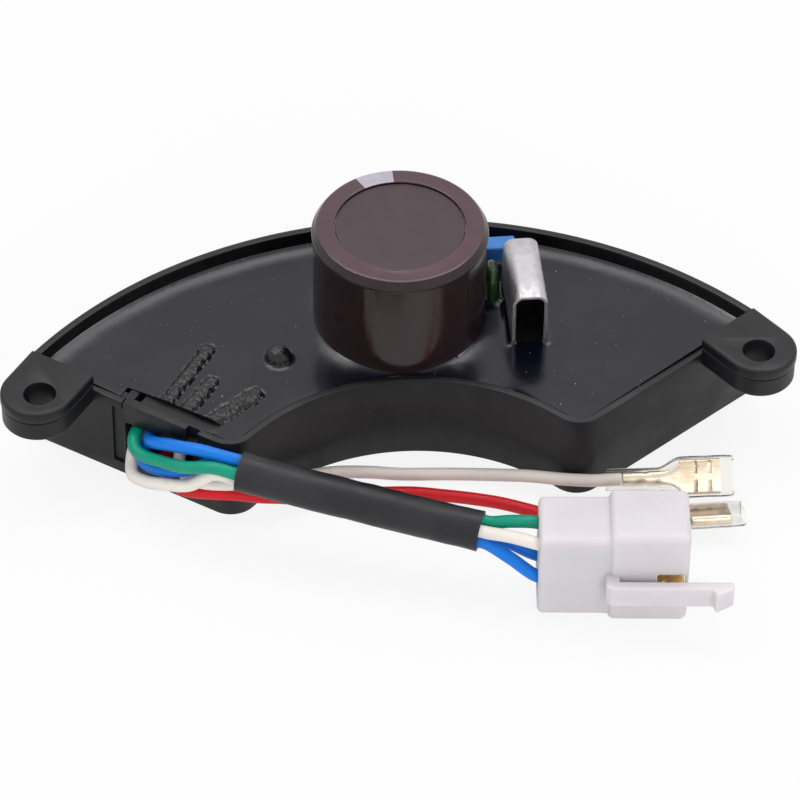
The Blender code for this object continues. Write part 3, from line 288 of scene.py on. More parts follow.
WIRES = {"green": wire_paint("green_wire", (0.001, 0.31, 0.19), (0.01, 0.24, 0.15)),
         "blue": wire_paint("blue_wire", (0.004, 0.20, 0.78), (0.02, 0.16, 0.55)),
         "white": wire_paint("white_wire", (0.90, 0.84, 0.78), (0.70, 0.60, 0.42)),
         "red": wire_paint("red_wire", (0.66, 0.010, 0.018), (0.45, 0.02, 0.02))}
BLUE_BOX = plain_paint("blue_box", (0.035, 0.20, 0.60), 0.28, (0.045, 0.25, 0.66), 160)
GREEN_DIP = plain_paint("green_dip", (0.006, 0.026, 0.007), 0.14, (0.012, 0.045, 0.012), 160)
LAMINATE = plain_paint("board_laminate", (0.21, 0.12, 0.05), 0.55, (0.26, 0.16, 0.07), 200)
RUBBER = plain_paint("seal_rubber", (0.028, 0.028, 0.028), 0.7, (0.04, 0.04, 0.04))
FOIL = plain_paint("foil_roll", (0.45, 0.42, 0.38), 0.6, (0.36, 0.34, 0.30))
EPOXY = plain_paint("component_epoxy", (0.02, 0.02, 0.022), 0.42, (0.03, 0.03, 0.032))
COAT = plain_paint("resistor_coat", (0.35, 0.28, 0.17), 0.5, (0.28, 0.21, 0.12))

for names, paint in (
        (("circuit_board",), LAMINATE), (("capacitor_can", "small_electrolytic"), CAN_METAL),
        (("capacitor_seal",), RUBBER), (("capacitor_winding",), FOIL),
        (("capacitor_pin_left", "capacitor_pin_right"), TINNED),
        (("power_transistor", "trigger_thyristor", "rectifier_diode_1", "rectifier_diode_2",
          "flywheel_diode", "zener_diode"), EPOXY),
        (("dropper_resistor", "sensing_resistor"), COAT),
        (("film_capacitor_blue",), BLUE_BOX), (("film_capacitor_green",), GREEN_DIP)):
    for name in names:
        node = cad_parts[name]
        node.data.materials.clear()
        node.data.materials.append(paint)


# Making pieces
def bare(made, name):
    """A working object, in millimetres, that isn't a piece yet."""
    bmesh.ops.recalc_face_normals(made, faces=made.faces)
    mesh = bpy.data.meshes.new(name)
    made.to_mesh(mesh)
    made.free()
    return add(name, mesh)


def settle(obj):
    """Turns what the modifiers show into the object's own mesh."""
    bpy.context.view_layer.update()
    evaluated = obj.evaluated_get(bpy.context.evaluated_depsgraph_get())
    mesh = bpy.data.meshes.new_from_object(evaluated)
    obj.modifiers.clear()
    old = obj.data
    obj.data = mesh
    bpy.data.meshes.remove(old)
    return obj


def carve(obj, *tools, kind="DIFFERENCE"):
    for tool in tools:
        step = obj.modifiers.new(tool.name, "BOOLEAN")
        step.operation = kind
        step.solver = "EXACT"
        step.object = tool
        settle(obj)
        bpy.data.objects.remove(tool)
    return obj


def soften(obj, width, segments=3, angle=40):
    """Rounds the object's sharp edges."""
    step = obj.modifiers.new("soft_edges", "BEVEL")
    step.width = width
    step.segments = segments
    step.limit_method = "ANGLE"
    step.angle_limit = radians(angle)
    return settle(obj)


def declare(obj, paints, nodes=(), angle=35):
    obj.data.materials.clear()
    for paint in paints if isinstance(paints, (list, tuple)) else (paints,):
        obj.data.materials.append(paint)
    if obj.type == "MESH":
        obj.data.shade_smooth()
        obj.data.set_sharp_from_angle(angle=radians(angle))
    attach(obj, "root")
    if nodes:
        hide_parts(*nodes)
    return obj


def finished(obj, paints, nodes=(), place=Matrix(), angle=35):
    """A working object in millimetres becomes a piece in metres that stands for its nodes."""
    obj.data.transform(Matrix.Scale(MM, 4) @ place)
    return declare(obj, paints, nodes, angle)


def mark(obj, choose):
    """Gives each face the material whose number choose names, from its middle in millimetres."""
    for face in obj.data.polygons:
        face.material_index = choose(*(face.center / MM), face.normal)
    return obj


def skin(name, rings, closed=False):
    """A working object over loops of equal length, capped or, if closed, joined end to end."""
    made = bmesh.new()
    loops = [[made.verts.new(point) for point in ring] for ring in rings]
    count = len(loops[0])
    for first, second in zip(loops, loops[1:] + (loops[:1] if closed else [])):
        for i in range(count):
            j = (i + 1) % count
            made.faces.new((first[i], first[j], second[j], second[i]))
    if not closed:
        made.faces.new(loops[0])
        made.faces.new(loops[-1])
    return bare(made, name)


def flat(points, z):
    return [Vector((x, y, z)) for x, y in points]


def circle(centre, radius, count, z=0.0):
    return [Vector((centre[0] + radius * cos(2 * pi * i / count),
                    centre[1] + radius * sin(2 * pi * i / count), z))
            for i in range(count)]


def turned(name, profile, centre, count, shift=None):
    """A closed profile of (radius, height) turned about a vertical axis."""
    rings = []
    for r, z in profile:
        ring = []
        for i in range(count):
            angle = 2 * pi * i / count
            dr, dz = shift(r, z, angle) if shift else (0, 0)
            ring.append(Vector((centre[0] + (r + dr) * cos(angle),
                                centre[1] + (r + dr) * sin(angle), z + dz)))
        rings.append(ring)
    return skin(name, rings, True)


def block(name, low, high, radius=0.0, segments=4):
    """A block whose edges are rounded to this radius."""
    made = bmesh.new()
    bmesh.ops.create_cube(made, size=1)
    size = Vector(high) - Vector(low)
    middle = (Vector(high) + Vector(low)) / 2
    made.transform(Matrix.Translation(middle) @ Matrix.Diagonal((*size, 1)))
    if radius:
        bmesh.ops.bevel(made, geom=made.edges[:], offset=radius, segments=segments,
                        profile=0.5, affect="EDGES")
    return bare(made, name)


def bar(name, start, end, radius, count=24):
    """A round bar between two points, for cutting."""
    start, end = Vector(start), Vector(end)
    turn = (end - start).to_track_quat("Z", "Y").to_matrix()
    return skin(name, [[point + turn @ spot for spot in circle((0, 0), radius, count)]
                       for point in (start, end)])


def flow(route, spacing):
    """Even points on a smooth curve (centripetal Catmull-Rom) through the route's points."""
    chosen = [Vector(point) for point in route]
    padded = [chosen[0] * 2 - chosen[1]] + chosen + [chosen[-1] * 2 - chosen[-2]]
    fine = []
    for p0, p1, p2, p3 in zip(padded, padded[1:], padded[2:], padded[3:]):
        t1 = (p1 - p0).length ** 0.5
        t2 = t1 + (p2 - p1).length ** 0.5
        t3 = t2 + (p3 - p2).length ** 0.5
        for step in range(16):
            t = t1 + (t2 - t1) * step / 16
            a1 = p0.lerp(p1, t / t1)
            a2 = p1.lerp(p2, (t - t1) / (t2 - t1))
            a3 = p2.lerp(p3, (t - t2) / (t3 - t2))
            fine.append(a1.lerp(a2, t / t2).lerp(a2.lerp(a3, (t - t1) / (t3 - t1)),
                                                 (t - t1) / (t2 - t1)))
    fine.append(chosen[-1])
    lengths = [0.0]
    for a, b in zip(fine, fine[1:]):
        lengths.append(lengths[-1] + (b - a).length)
    count = max(2, round(lengths[-1] / spacing))
    even, index = [], 0
    for step in range(count + 1):
        target = lengths[-1] * step / count
        while index < len(fine) - 2 and lengths[index + 1] < target:
            index += 1
        share = (target - lengths[index]) / (lengths[index + 1] - lengths[index])
        even.append(fine[index].lerp(fine[index + 1], min(share, 1)))
    return even


def length_of(points):
    return sum((b - a).length for a, b in zip(points, points[1:]))


# The tray's plan, in millimetres, as in the CAD source
HOLE_X, HOLE_Y, HOLE_RADIUS = 75.0, -17.0, 3.3
RIM_RADIUS, RIM_TOP_Y = 99.1, 31.05
RECESS_RADIUS, CORNER_RADIUS = 44.1, 6.0
SIDE_ANGLE = radians(35.5)
SIDE_CROSSING = Vector((58.1, -17.0))
WALL, RIM_WALL, FLOOR, TRAY_TOP, RIM_TOP = 1.6, 1.8, 1.8, 20.8, 24.9
CAN_CENTRE = Vector((1.7, 5.05))
SLEEVE_RADIUS, CAPACITOR_TOP = 18.2, 46.0
RECESS_APEX_Y = CAN_CENTRE.y - SLEEVE_RADIUS - 0.8 - WALL
LUG_CENTRE, LUG_BOTTOM = Vector((75.5, -16.0)), 17.5
CLIP_CENTRE = Vector((28.15, 3.5))
CLIP_WIDTH, CLIP_LENGTH, CLIP_TOP, CLIP_SHEET, CLIP_BEND = 7.5, 18.6, 33.4, 0.8, 2.4
LEG_X, LEG_HALF = (CLIP_WIDTH - CLIP_SHEET) / 2, (CLIP_SHEET / 2, CLIP_LENGTH / 2)
BLUE_CENTRE, BLUE_HALF = (21.8, 21.3), (6.5, 2.0)
GREEN_CENTRE, GREEN_HALF = (22.0, 10.2), (1.3, 3.4)
INSERT_START, INSERT_END, INSERT_DEPTH = -1.5, 21.1, 4.6
SEAT, FIT = 6.0, 0.03
SIDE_NORMAL = Vector((sin(SIDE_ANGLE), -cos(SIDE_ANGLE)))
SIDE_UP = Vector((cos(SIDE_ANGLE), sin(SIDE_ANGLE)))
SIDE_DISTANCE = SIDE_NORMAL.dot(SIDE_CROSSING)
RIM_CENTRE = Vector((0, RIM_TOP_Y - RIM_RADIUS))
RECESS_CENTRE = Vector((0, RECESS_APEX_Y - RECESS_RADIUS))
LEFT_ORIGIN = Vector((-SIDE_CROSSING.x, SIDE_CROSSING.y))
LEFT_U = Vector((SIDE_UP.x, -SIDE_UP.y))
LEFT_V = Vector((SIDE_NORMAL.x, -SIDE_NORMAL.y))
WALL_PLACE = Matrix.Translation((*LEFT_ORIGIN, 0)) @ Matrix.Rotation(
    atan2(LEFT_U.y, LEFT_U.x), 4, "Z")


def arc(centre, radius, start, end, segments):
    steps = [start + (end - start) * i / segments for i in range(segments + 1)]
    return [(centre[0] + radius * cos(a), centre[1] + radius * sin(a)) for a in steps]


def along_side(distance, centre, radius):
    foot = SIDE_NORMAL * distance - centre
    half = SIDE_UP.dot(foot)
    reach = -half + sqrt(half * half - foot.length_squared + radius * radius)
    return SIDE_NORMAL * distance + SIDE_UP * reach


CORNER_CENTRE = along_side(SIDE_DISTANCE - CORNER_RADIUS, RECESS_CENTRE,
                           RECESS_RADIUS + CORNER_RADIUS)


def crescent(rim_inset, wall_inset, steps=(150, 14, 66)):
    """The tray's outline, drawn inwards by one inset at the rim and one at the other walls."""
    radius = RIM_RADIUS - rim_inset
    tip = along_side(SIDE_DISTANCE - wall_inset, RIM_CENTRE, radius) - RIM_CENTRE
    tip_angle = atan2(tip.y, tip.x)
    points = arc(RIM_CENTRE, radius, tip_angle, pi - tip_angle, steps[0])
    to_recess = RECESS_CENTRE - CORNER_CENTRE
    start = atan2(to_recess.y, to_recess.x)
    corner = arc(CORNER_CENTRE, CORNER_RADIUS - wall_inset, start, SIDE_ANGLE - pi / 2,
                 steps[1])
    left = [(-x, y) for x, y in reversed(corner)]
    first = atan2(-to_recess.y, -to_recess.x)
    bend = arc(RECESS_CENTRE, RECESS_RADIUS + wall_inset, pi - first, first, steps[2])
    return points + left + bend[1:-1] + corner


def lug_outline(side, radius):
    overlap = 0.3
    reach = SIDE_NORMAL.dot(LUG_CENTRE) - SIDE_DISTANCE + overlap
    facing = atan2(SIDE_NORMAL.y, SIDE_NORMAL.x)
    points = arc(LUG_CENTRE, radius, facing - pi / 2, facing + pi / 2, 36)
    for x, y in (points[-1], points[0]):
        end = Vector((x, y)) - SIDE_NORMAL * reach
        points.append((end.x, end.y))
    return [(-x, y) for x, y in reversed(points)] if side < 0 else points


def depths(x, y):
    """How far a point lies inside the outer face of the rim, and of the nearest other wall."""
    spot = Vector((x, y))
    rim = RIM_RADIUS - (spot - RIM_CENTRE).length
    recess = (spot - RECESS_CENTRE).length - RECESS_RADIUS
    side = SIDE_DISTANCE - SIDE_NORMAL.dot(Vector((abs(x), y)))
    return rim, min(side, recess)


def wall_frame(x, y):
    spot = Vector((x, y)) - LEFT_ORIGIN
    return spot.dot(LEFT_U), spot.dot(LEFT_V)


def build_housing():
    """The moulded tray, its raised rim and both lugs, with the flash step of the mould."""
    top, rim = TRAY_TOP, RIM_TOP

    def plan_skin(name, insets):
        return skin(name, [flat(crescent(a, b), z) for a, b, z in insets])

    tray = plan_skin("housing_shell", (
        (0.5, 0.5, 0), (0.15, 0.15, 0.15), (0, 0, 0.5), (0, 0, top - 0.4), (0, 0.1, top - 0.12),
        (0, 0.4, top + 0.02), (0, 0.4, rim - 0.5), (0.15, 0.5, rim - 0.14), (0.5, 0.8, rim)))
    for label, insets in (
            ("above_walls", ((RIM_WALL, -8, top), (RIM_WALL, -8, rim - 0.5),
                             (RIM_WALL - 0.14, -8, rim - 0.14), (RIM_WALL - 0.45, -8, rim + 0.02),
                             (RIM_WALL - 0.45, -8, rim + 3))),
            ("cavity", ((RIM_WALL + 0.01, WALL, FLOOR), (RIM_WALL + 0.01, WALL, top - 0.5),
                        (RIM_WALL + 0.01, WALL - 0.03, top - 0.08),
                        (RIM_WALL + 0.01, WALL - 0.12, top + 0.02),
                        (RIM_WALL + 0.01, WALL - 0.12, top + 1)))):
        carve(tray, plan_skin(label, insets))
    for side in (-1, 1):
        carve(tray, skin("lug", [flat(lug_outline(side, radius), z) for radius, z in (
            (7.0, LUG_BOTTOM), (7.3, LUG_BOTTOM + 0.15), (7.5, LUG_BOTTOM + 0.45), (7.5, 21.95),
            (7.35, 22.08), (6.8, 22.14), (6.8, 22.48), (7.66, 22.56), (7.7, 22.7),
            (7.7, rim - 0.8), (7.62, rim - 0.42), (7.4, rim - 0.14), (7.02, rim))]),
              kind="UNION")
        carve(tray, skin("lug_hole", [circle((side * HOLE_X, HOLE_Y), radius, 64, z)
                                      for radius, z in (
            (3.6, 16.0), (3.6, 17.6), (HOLE_RADIUS, 17.9), (HOLE_RADIUS, rim - 0.35),
            (HOLE_RADIUS + 0.12, rim - 0.1), (HOLE_RADIUS + 0.4, rim + 0.02),
            (HOLE_RADIUS + 0.6, rim + 2))]))
    for low, high in (((-0.2, -1, 5.0), (19.0, WALL + 1, RIM_TOP)),
                      ((-2.6, -1, 3.3), (0.8, 0.5, TRAY_TOP - 2))):
        tool = block("wall_gap", low, high)
        tool.data.transform(WALL_PLACE)
        carve(tray, tool)

    # The inner upright faces and the rim's inner band take the darker black of painted shade.
    def inner(x, y, z, normal):
        rim_depth, wall_depth = depths(x, y)
        inside = rim_depth > RIM_WALL - 0.1 and wall_depth > WALL - 0.1 and z > FLOOR
        band = RIM_WALL - 0.1 < rim_depth < RIM_WALL + 0.1 and z > TRAY_TOP
        return int(abs(normal.z) < 0.4 and (inside or band))

    finished(tray, (BLACK, SHADED_SMOOTH_BLACK), ("housing",), angle=32)
    return mark(tray, inner)


def build_insert():
    """The separate frame that closes the wall's wire gap and lets the leads out."""
    flange = block("outlet_frame", (-1.4, WALL + 0.02, 2.1), (21.05, 4.56, TRAY_TOP - 0.04))
    plug = block("plug", (0.02, 0.06, 5.3), (18.98, WALL + 0.6, TRAY_TOP - 0.04))
    carve(flange, plug, kind="UNION")
    window = block("window", (0.5, -1, 7.0), (17.0, 5.5, 15.4), 0.6)
    key = block("key", (-2.4, 3.3, FLOOR), (-0.4, 5.5, TRAY_TOP + 1))
    slot = block("key_slot", (1.6, 2.2, TRAY_TOP - 1.6), (3.2, 5.5, TRAY_TOP + 1))
    notch = block("side_notch", (15.4, -0.5, 17.6), (18.2, 1.4, TRAY_TOP + 1))
    carve(flange, window, key, slot, notch)
    soften(flange, 0.14, 2, 50)
    return finished(flange, BLACK, ("wire_outlet_insert",), WALL_PLACE, 32)


# The resin's surface
RIDGES = (((-49.4, -18.0), (-39.3, -2.4), 3.1), ((-45.9, -21.6), (-39.1, -12.2), 3.2),
          ((-42.0, -25.6), (-30.4, -16.8), 3.6))
BUMP, BUMP_RADIUS, BUMP_HEIGHT = Vector((-24.8, -6.3)), 2.85, 2.6


def to_box(x, y, centre, half_x, half_y):
    """Distance from a point to an upright box's outline, 0 inside."""
    return hypot(max(abs(x - centre[0]) - half_x, 0), max(abs(y - centre[1]) - half_y, 0))


def ridge_share(x, y):
    """The nearest ridge at a point: 1 on its middle line, 0 at its edge, less outside."""
    best, width = -9, 1
    for start, end, wide in RIDGES:
        a, b, spot = Vector(start), Vector(end), Vector((x, y))
        run = b - a
        along = min(max((spot - a).dot(run) / run.length_squared, 0), 1)
        across = (spot - a - run * along).length
        across += 0.35 * noise(Vector((x * 0.6, y * 0.6, 3)))
        share = 1 - (across / (0.5 * wide)) ** 2
        if share > best:
            best, width = share, wide
    return best, width


def resin_height(x, y):
    """Height of the resin above the walls' top, in millimetres."""
    rim, wall = depths(x, y)
    rim, wall = max(rim - RIM_WALL, 0), max(wall - WALL, 0)
    can = max((Vector((x, y)) - CAN_CENTRE).length - SLEEVE_RADIUS, 0)
    free = 1 - exp(-max(wall - 0.8, 0) / 2.2)
    height = -0.14 + 0.09 * exp(-wall / 0.6) + 1.15 * exp(-rim / 1.8)
    height += 0.95 * exp(-can / 1.7) * free
    legs = min(to_box(x, y, (CLIP_CENTRE.x + side * LEG_X, CLIP_CENTRE.y), *LEG_HALF)
               for side in (-1, 1))
    height += 0.8 * exp(-legs / 0.55)
    height += 0.5 * exp(-to_box(x, y, BLUE_CENTRE, *BLUE_HALF) / 0.7)
    height += 0.7 * exp(-to_box(x, y, GREEN_CENTRE, *GREEN_HALF) / 0.8)
    u, v = wall_frame(x, y)
    if -2 < u < 22 and v < 9:
        height += 0.08 * exp(-max(v - INSERT_DEPTH, 0) / 1.2)
    height += 0.07 * noise(Vector((x / 11, y / 11, 0)))
    height += 0.018 * noise(Vector((x / 2.3, y / 2.3, 5)))
    share, wide = ridge_share(x, y)
    if share > -0.6:
        grain = noise(Vector((x * 1.3, y * 1.3, 1))) * 0.38
        grain += noise(Vector((x * 2.9, y * 2.9, 2))) * 0.30
        if share > 0:
            height += 0.22 * wide * min(1, share * 1.3) ** 0.7 + grain * min(1, share * 3)
        else:
            height -= 0.22 * (1 - abs(share + 0.25) / 0.35)
    away = (Vector((x, y)) - BUMP).length
    if away < BUMP_RADIUS:
        height += BUMP_HEIGHT * sqrt(1 - (away / BUMP_RADIUS) ** 2)
        height += 0.16 * noise(Vector((x * 2.6, y * 2.6, 7)))
    height += 0.35 * exp(-max(away - BUMP_RADIUS, 0) / 0.5)
    return height


def build_resin():
    """The poured block: a fine sheet that climbs at the walls and parts, closed below."""
    points, edges = [], []

    def loop(outline):
        first = len(points)
        points.extend(Vector(point[:2]) for point in outline)
        edges.extend((first + i, first + (i + 1) % len(outline)) for i in range(len(outline)))

    outline = crescent(RIM_WALL + 0.1, WALL + 0.06, (190, 10, 90))
    loop(outline)
    loop(circle(CAN_CENTRE, SLEEVE_RADIUS + FIT, 110))
    holes = []
    for (x, y), (half_x, half_y) in (
            ((CLIP_CENTRE.x - LEG_X, CLIP_CENTRE.y), LEG_HALF),
            ((CLIP_CENTRE.x + LEG_X, CLIP_CENTRE.y), LEG_HALF), (BLUE_CENTRE, BLUE_HALF)):
        holes.append((x - half_x - FIT, y - half_y - FIT, x + half_x + FIT, y + half_y + FIT))
    for x0, y0, x1, y1 in holes:
        loop(((x0, y0), (x1, y0), (x1, y1), (x0, y1)))
    seat = [LEFT_ORIGIN + LEFT_U * u + LEFT_V * v for u, v in (
        (INSERT_START, -3), (INSERT_END, -3), (INSERT_END, INSERT_DEPTH),
        (INSERT_START, INSERT_DEPTH))]
    loop(seat)
    fine = []
    for away in (0.22, 0.5, 0.9, 1.4, 2.0, 2.7, 3.5, 4.4):
        fine += crescent(RIM_WALL + 0.1 + away, WALL + 0.06 + away, (190, 6, 90))
        fine += circle(CAN_CENTRE, SLEEVE_RADIUS + FIT + away * 1.2, 110)
    for x0, y0, x1, y1 in holes:
        for away in (0.25, 0.6, 1.1):
            for i in range(26):
                t = i / 25
                fine += [(x0 - away, y0 + (y1 - y0) * t), (x1 + away, y0 + (y1 - y0) * t)]
            for i in range(5):
                t = i / 4
                fine += [(x0 + (x1 - x0) * t, y0 - away), (x0 + (x1 - x0) * t, y1 + away)]
    for radius in (0.001, 0.5, 1.0, 1.5, 1.9, 2.25, 2.5, 2.68, 2.79, 2.85, 2.95, 3.15, 3.5, 4.0):
        fine += circle(BUMP, radius, 1 if radius < 0.1 else 40)
    step = 0.75
    for row in range(97):
        y = -32 + row * step * 0.87
        for column in range(206):
            x = -77 + step * (column + row % 2 / 2)
            fine.append((x, y))
            if -52 < x < -28 and -29 < y < 0 and ridge_share(x, y)[0] > -0.8:
                fine += [(x + 0.37, y), (x + 0.19, y + 0.33), (x + 0.56, y + 0.33)]
    for x, y, *_ in fine:
        rim, wall = depths(x, y)
        if rim > RIM_WALL + 0.25 and wall > WALL + 0.2:
            points.append(Vector((x, y)))
    spots, _edges, faces = delaunay_2d_cdt(points, edges, [], 0, 1e-4)[:3]

    def kept(face):
        middle = sum((spots[i] for i in face), Vector((0, 0))) / len(face)
        rim, wall = depths(*middle)
        if rim < RIM_WALL + 0.1 or wall < WALL + 0.05:
            return False
        if (middle - CAN_CENTRE).length < SLEEVE_RADIUS + 0.02:
            return False
        if any(x0 < middle.x < x1 and y0 < middle.y < y1 for x0, y0, x1, y1 in holes):
            return False
        u, v = wall_frame(*middle)
        return not (INSERT_START < u < INSERT_END and v < INSERT_DEPTH)

    made = bmesh.new()
    upper, lower = {}, {}
    for face in filter(kept, faces):
        for i in face:
            if i not in upper:
                x, y = spots[i]
                upper[i] = made.verts.new((x, y, TRAY_TOP + resin_height(x, y)))
                lower[i] = made.verts.new((x, y, SEAT))
        made.faces.new([upper[i] for i in face])
        made.faces.new([lower[i] for i in reversed(face)])
    below = {vertex: lower[i] for i, vertex in upper.items()}
    for edge in [e for e in made.edges if e.is_boundary and e.verts[0] in below]:
        a, b = edge.verts
        made.faces.new((a, b, below[b], below[a]))
    resin = bare(made, "resin_fill")

    def grade(x, y, z, normal):
        if normal.z < 0.01:
            return 0
        if ridge_share(x, y)[0] > -0.15 or (Vector((x, y)) - BUMP).length < BUMP_RADIUS:
            return 1
        # The resin under the clip takes the near-black of painted shade.
        return 2 if to_box(x, y, CLIP_CENTRE, 2.9, 9.0) == 0 else 0

    finished(resin, (RESIN, ROUGH_RESIN, PAINTED_SHADE_BLACK), ("potting_compound",),
             angle=60)
    return mark(resin, grade)


def build_capacitor():
    """Shrink film drawn over the can's rolled edge, and the disc that it holds."""
    top = CAPACITOR_TOP
    side = SLEEVE_RADIUS
    inside = side - 0.6

    def crumple(r, z, angle):
        at = Vector((cos(angle) * 3, sin(angle) * 3, z * 0.5))
        out = 0.0
        if z > 41:
            front_left = exp(-((degrees(angle) - 232) / 16) ** 2)
            out += (0.05 + 0.22 * front_left) * noise(at * (1.2 + 1.6 * front_left))
        out += 0.03 * noise(Vector((at.x, at.y, z * 0.1)))
        lift = 0.05 * noise(at * 0.8) if z > top - 0.6 and r > 14 else 0
        return (out if r > 16.8 else 0), lift

    drops = [(13.70, 0.55), (13.66, 0.3), (13.70, 0.12), (13.82, 0.02), (14.0, -0.03), (14.3, 0),
             (15.2, 0.08), (16.4, 0.12), (16.95, 0.13), (17.3, 0.16), (17.48, 0.24), (17.6, 0.42),
             (17.78, 0.75), (18.08, 1.2), (18.35, 1.55), (18.52, 1.85), (18.52, 2.1),
             (18.38, 2.3), (18.22, 2.4), (side, 2.8), (side, 10), (side, 16), (side, 22),
             (side, 28), (side, 34), (side - 0.02, 39.7), (inside, 39.7), (inside, 2.0),
             (inside - 0.6, 1.1), (inside - 1.6, 0.7), (14.2, 0.6)]
    film = turned("shrink_film", [(r, top - drop) for r, drop in drops], CAN_CENTRE, 160, crumple)

    def shade(x, y, z, normal):
        angle = degrees(atan2(y - CAN_CENTRE.y, x - CAN_CENTRE.x)) % 360
        r = hypot(x - CAN_CENTRE.x, y - CAN_CENTRE.y)
        if 90.5 < angle < 116 and (r > 13.75 and normal.z > 0.2 or r > 17.6):
            return 1
        if r < 13.6 or z < top - 2.4:
            return 0
        # Top faces of the rim take the lighter colour of painted light.
        return 2 if z > top - 0.3 else 3

    finished(film, (FILM, PATCH, FILM_LIT_TOP, FILM_BEAD), ("capacitor_sleeve",),
             angle=60)
    mark(film, shade)
    drops = ((0.01, 0.36), (4.0, 0.37), (8.0, 0.4), (11.5, 0.44), (13.2, 0.47), (13.5, 0.5),
             (13.55, 0.85), (13.4, 0.88), (0.01, 0.88))
    disc = turned("end_disc", [(r, top - drop) for r, drop in drops], CAN_CENTRE, 128)
    finished(disc, DISC, ("capacitor_end_disc",), angle=30)


def build_clip():
    """The folded sheet over the transistor, its sheared edges slightly rounded, its inner faces in
    the near-black of painted shade.
    """
    def section(inset, y):
        half, rise = CLIP_WIDTH / 2 - inset, CLIP_TOP - inset
        bend = CLIP_BEND - inset
        outer = arc((half - bend, rise - bend), bend, 0, pi / 2, 12)
        half_in, rise_in = CLIP_WIDTH / 2 - CLIP_SHEET + inset, CLIP_TOP - CLIP_SHEET + inset
        bend_in = CLIP_BEND - CLIP_SHEET + inset
        inner = arc((half_in - bend_in, rise_in - bend_in), bend_in, pi / 2, 0, 12)
        right = [(half, SEAT)] + outer
        left = [(-x, z) for x, z in reversed(right)]
        inner_right = inner + [(half_in, SEAT)]
        inner_left = [(-x, z) for x, z in reversed(inner_right)]
        return [Vector((CLIP_CENTRE.x + x, CLIP_CENTRE.y + y, z))
                for x, z in right + left + inner_left + inner_right]

    end = CLIP_LENGTH / 2
    clip = skin("folded_clip", [section(inset, y) for inset, y in (
        (0.16, -end), (0.05, -end + 0.05), (0, -end + 0.16), (0, -end / 3), (0, end / 3),
        (0, end - 0.16), (0.05, end - 0.05), (0.16, end))])
    finished(clip, (CLIP, PAINTED_SHADE_BLACK), ("heat_sink_clip",), angle=30)

    # Inner faces, in the tunnel under the fold, take the near-black of painted shade.
    def inside(x, y, z, normal):
        side = abs(x - CLIP_CENTRE.x)
        return int(side < CLIP_WIDTH / 2 - 0.7 and z < CLIP_TOP - 0.7
                   and abs(y - CLIP_CENTRE.y) < CLIP_LENGTH / 2 - 0.2)

    mark(clip, inside)


# The harness: the CAD source's routes, moved by up to 1.5 mm where the photo asks for it
def at_wall(u, v, z):
    spot = (LEFT_ORIGIN + LEFT_U * u + LEFT_V * v) * MM
    return Vector((spot.x, spot.y, z * MM))


LEAD_RADIUS = 1.35
LEAD_DEPTH = 8.0
SLEEVE_OUTER, SLEEVE_INNER = 4.15, 3.65
OUTLETS = {"green_lead": (2.8, 13.5), "blue_upper_lead": (6.2, 13.5),
           "blue_lower_lead": (5.0, 10.7), "white_lead": (2.2, 9.0),
           "red_brush_lead": (9.4, 8.8), "white_brush_lead": (13.2, 11.4)}
SLEEVE_ROUTE = [Vector(p) * MM for p in (
    (-35.1, -36.1, 17.8), (-23.1, -40.7, 16.7), (-11.2, -45.0, 15.6), (0.8, -49.3, 14.5),
    (12.8, -53.5, 13.6))]
TO_SLEEVE = {
    "green_lead": ((-56.1, -20.6, 13.6), (-55.9, -22.9, 12.8), (-53.9, -25.3, 12.9),
                   (-51.2, -27.9, 14.0), (-46.4, -32.9, 16.7)),
    "blue_upper_lead": ((-52.9, -21.8, 14.1), (-51.5, -24.3, 15.7), (-49.2, -26.7, 17.4),
                        (-46.9, -28.9, 18.7), (-42.9, -31.5, 19.9)),
    "blue_lower_lead": ((-54.5, -21.1, 10.5), (-54.4, -23.3, 9.9), (-52.9, -25.1, 9.8),
                        (-49.4, -28.0, 11.0), (-44.3, -31.0, 14.3)),
    "white_lead": ((-56.8, -21.2, 7.2), (-56.6, -24.6, 7.1), (-54.2, -27.4, 7.8),
                   (-50.4, -30.4, 9.6), (-45.4, -33.5, 12.0))}
# Angle in the bundle, side and row of the connector, and the way in to it
TO_CONNECTOR = {
    "green_lead": (45, 1, 1, 4.6, 16.0), "blue_upper_lead": (135, 1, 0, 4.6, 9.8),
    "blue_lower_lead": (225, -1, 0, 0.2, 9.8), "white_lead": (315, -1, 1, 0.2, 16.0)}
BRUSH_ROUTES = {
    "red_brush_lead": (
        (-50.2, -24.4, 7.8), (-48.9, -26.9, 7.0), (-46.6, -29.0, 6.4), (-43.0, -30.4, 6.6),
        (-39.1, -31.7, 7.2), (-35.0, -32.1, 6.9), (-30.8, -31.9, 5.7), (-27.0, -31.0, 4.3),
        (-22.3, -30.3, 2.9), (-17.0, -29.3, 1.9), (-7.4, -28.6, 1.4), (1.6, -29.2, 1.4),
        (7.2, -30.4, 1.4), (13.3, -31.9, 1.4), (19.4, -33.8, 1.4), (25.4, -36.6, 1.5),
        (31.0, -39.6, 1.9), (36.0, -41.8, 2.7)),
    "white_brush_lead": (
        (-46.9, -26.2, 10.4), (-45.6, -28.5, 9.6), (-43.0, -30.4, 9.6), (-37.8, -32.3, 10.4),
        (-32.0, -31.5, 9.7), (-26.4, -28.6, 6.6), (-20.0, -24.3, 3.4), (-14.1, -22.1, 1.8),
        (-6.9, -22.3, 1.4), (-0.7, -23.4, 1.4), (9.8, -24.3, 1.4), (20.1, -26.1, 2.0),
        (26.2, -28.7, 3.7), (32.2, -31.6, 5.2))}
SPADE_PLACES = {
    "white_brush_lead": (Vector((46.5, -33.3, 5.6)), radians(-2), radians(225)),
    "red_brush_lead": (Vector((47.3, -43.1, 3.4)), 0.0, radians(156) + pi)}
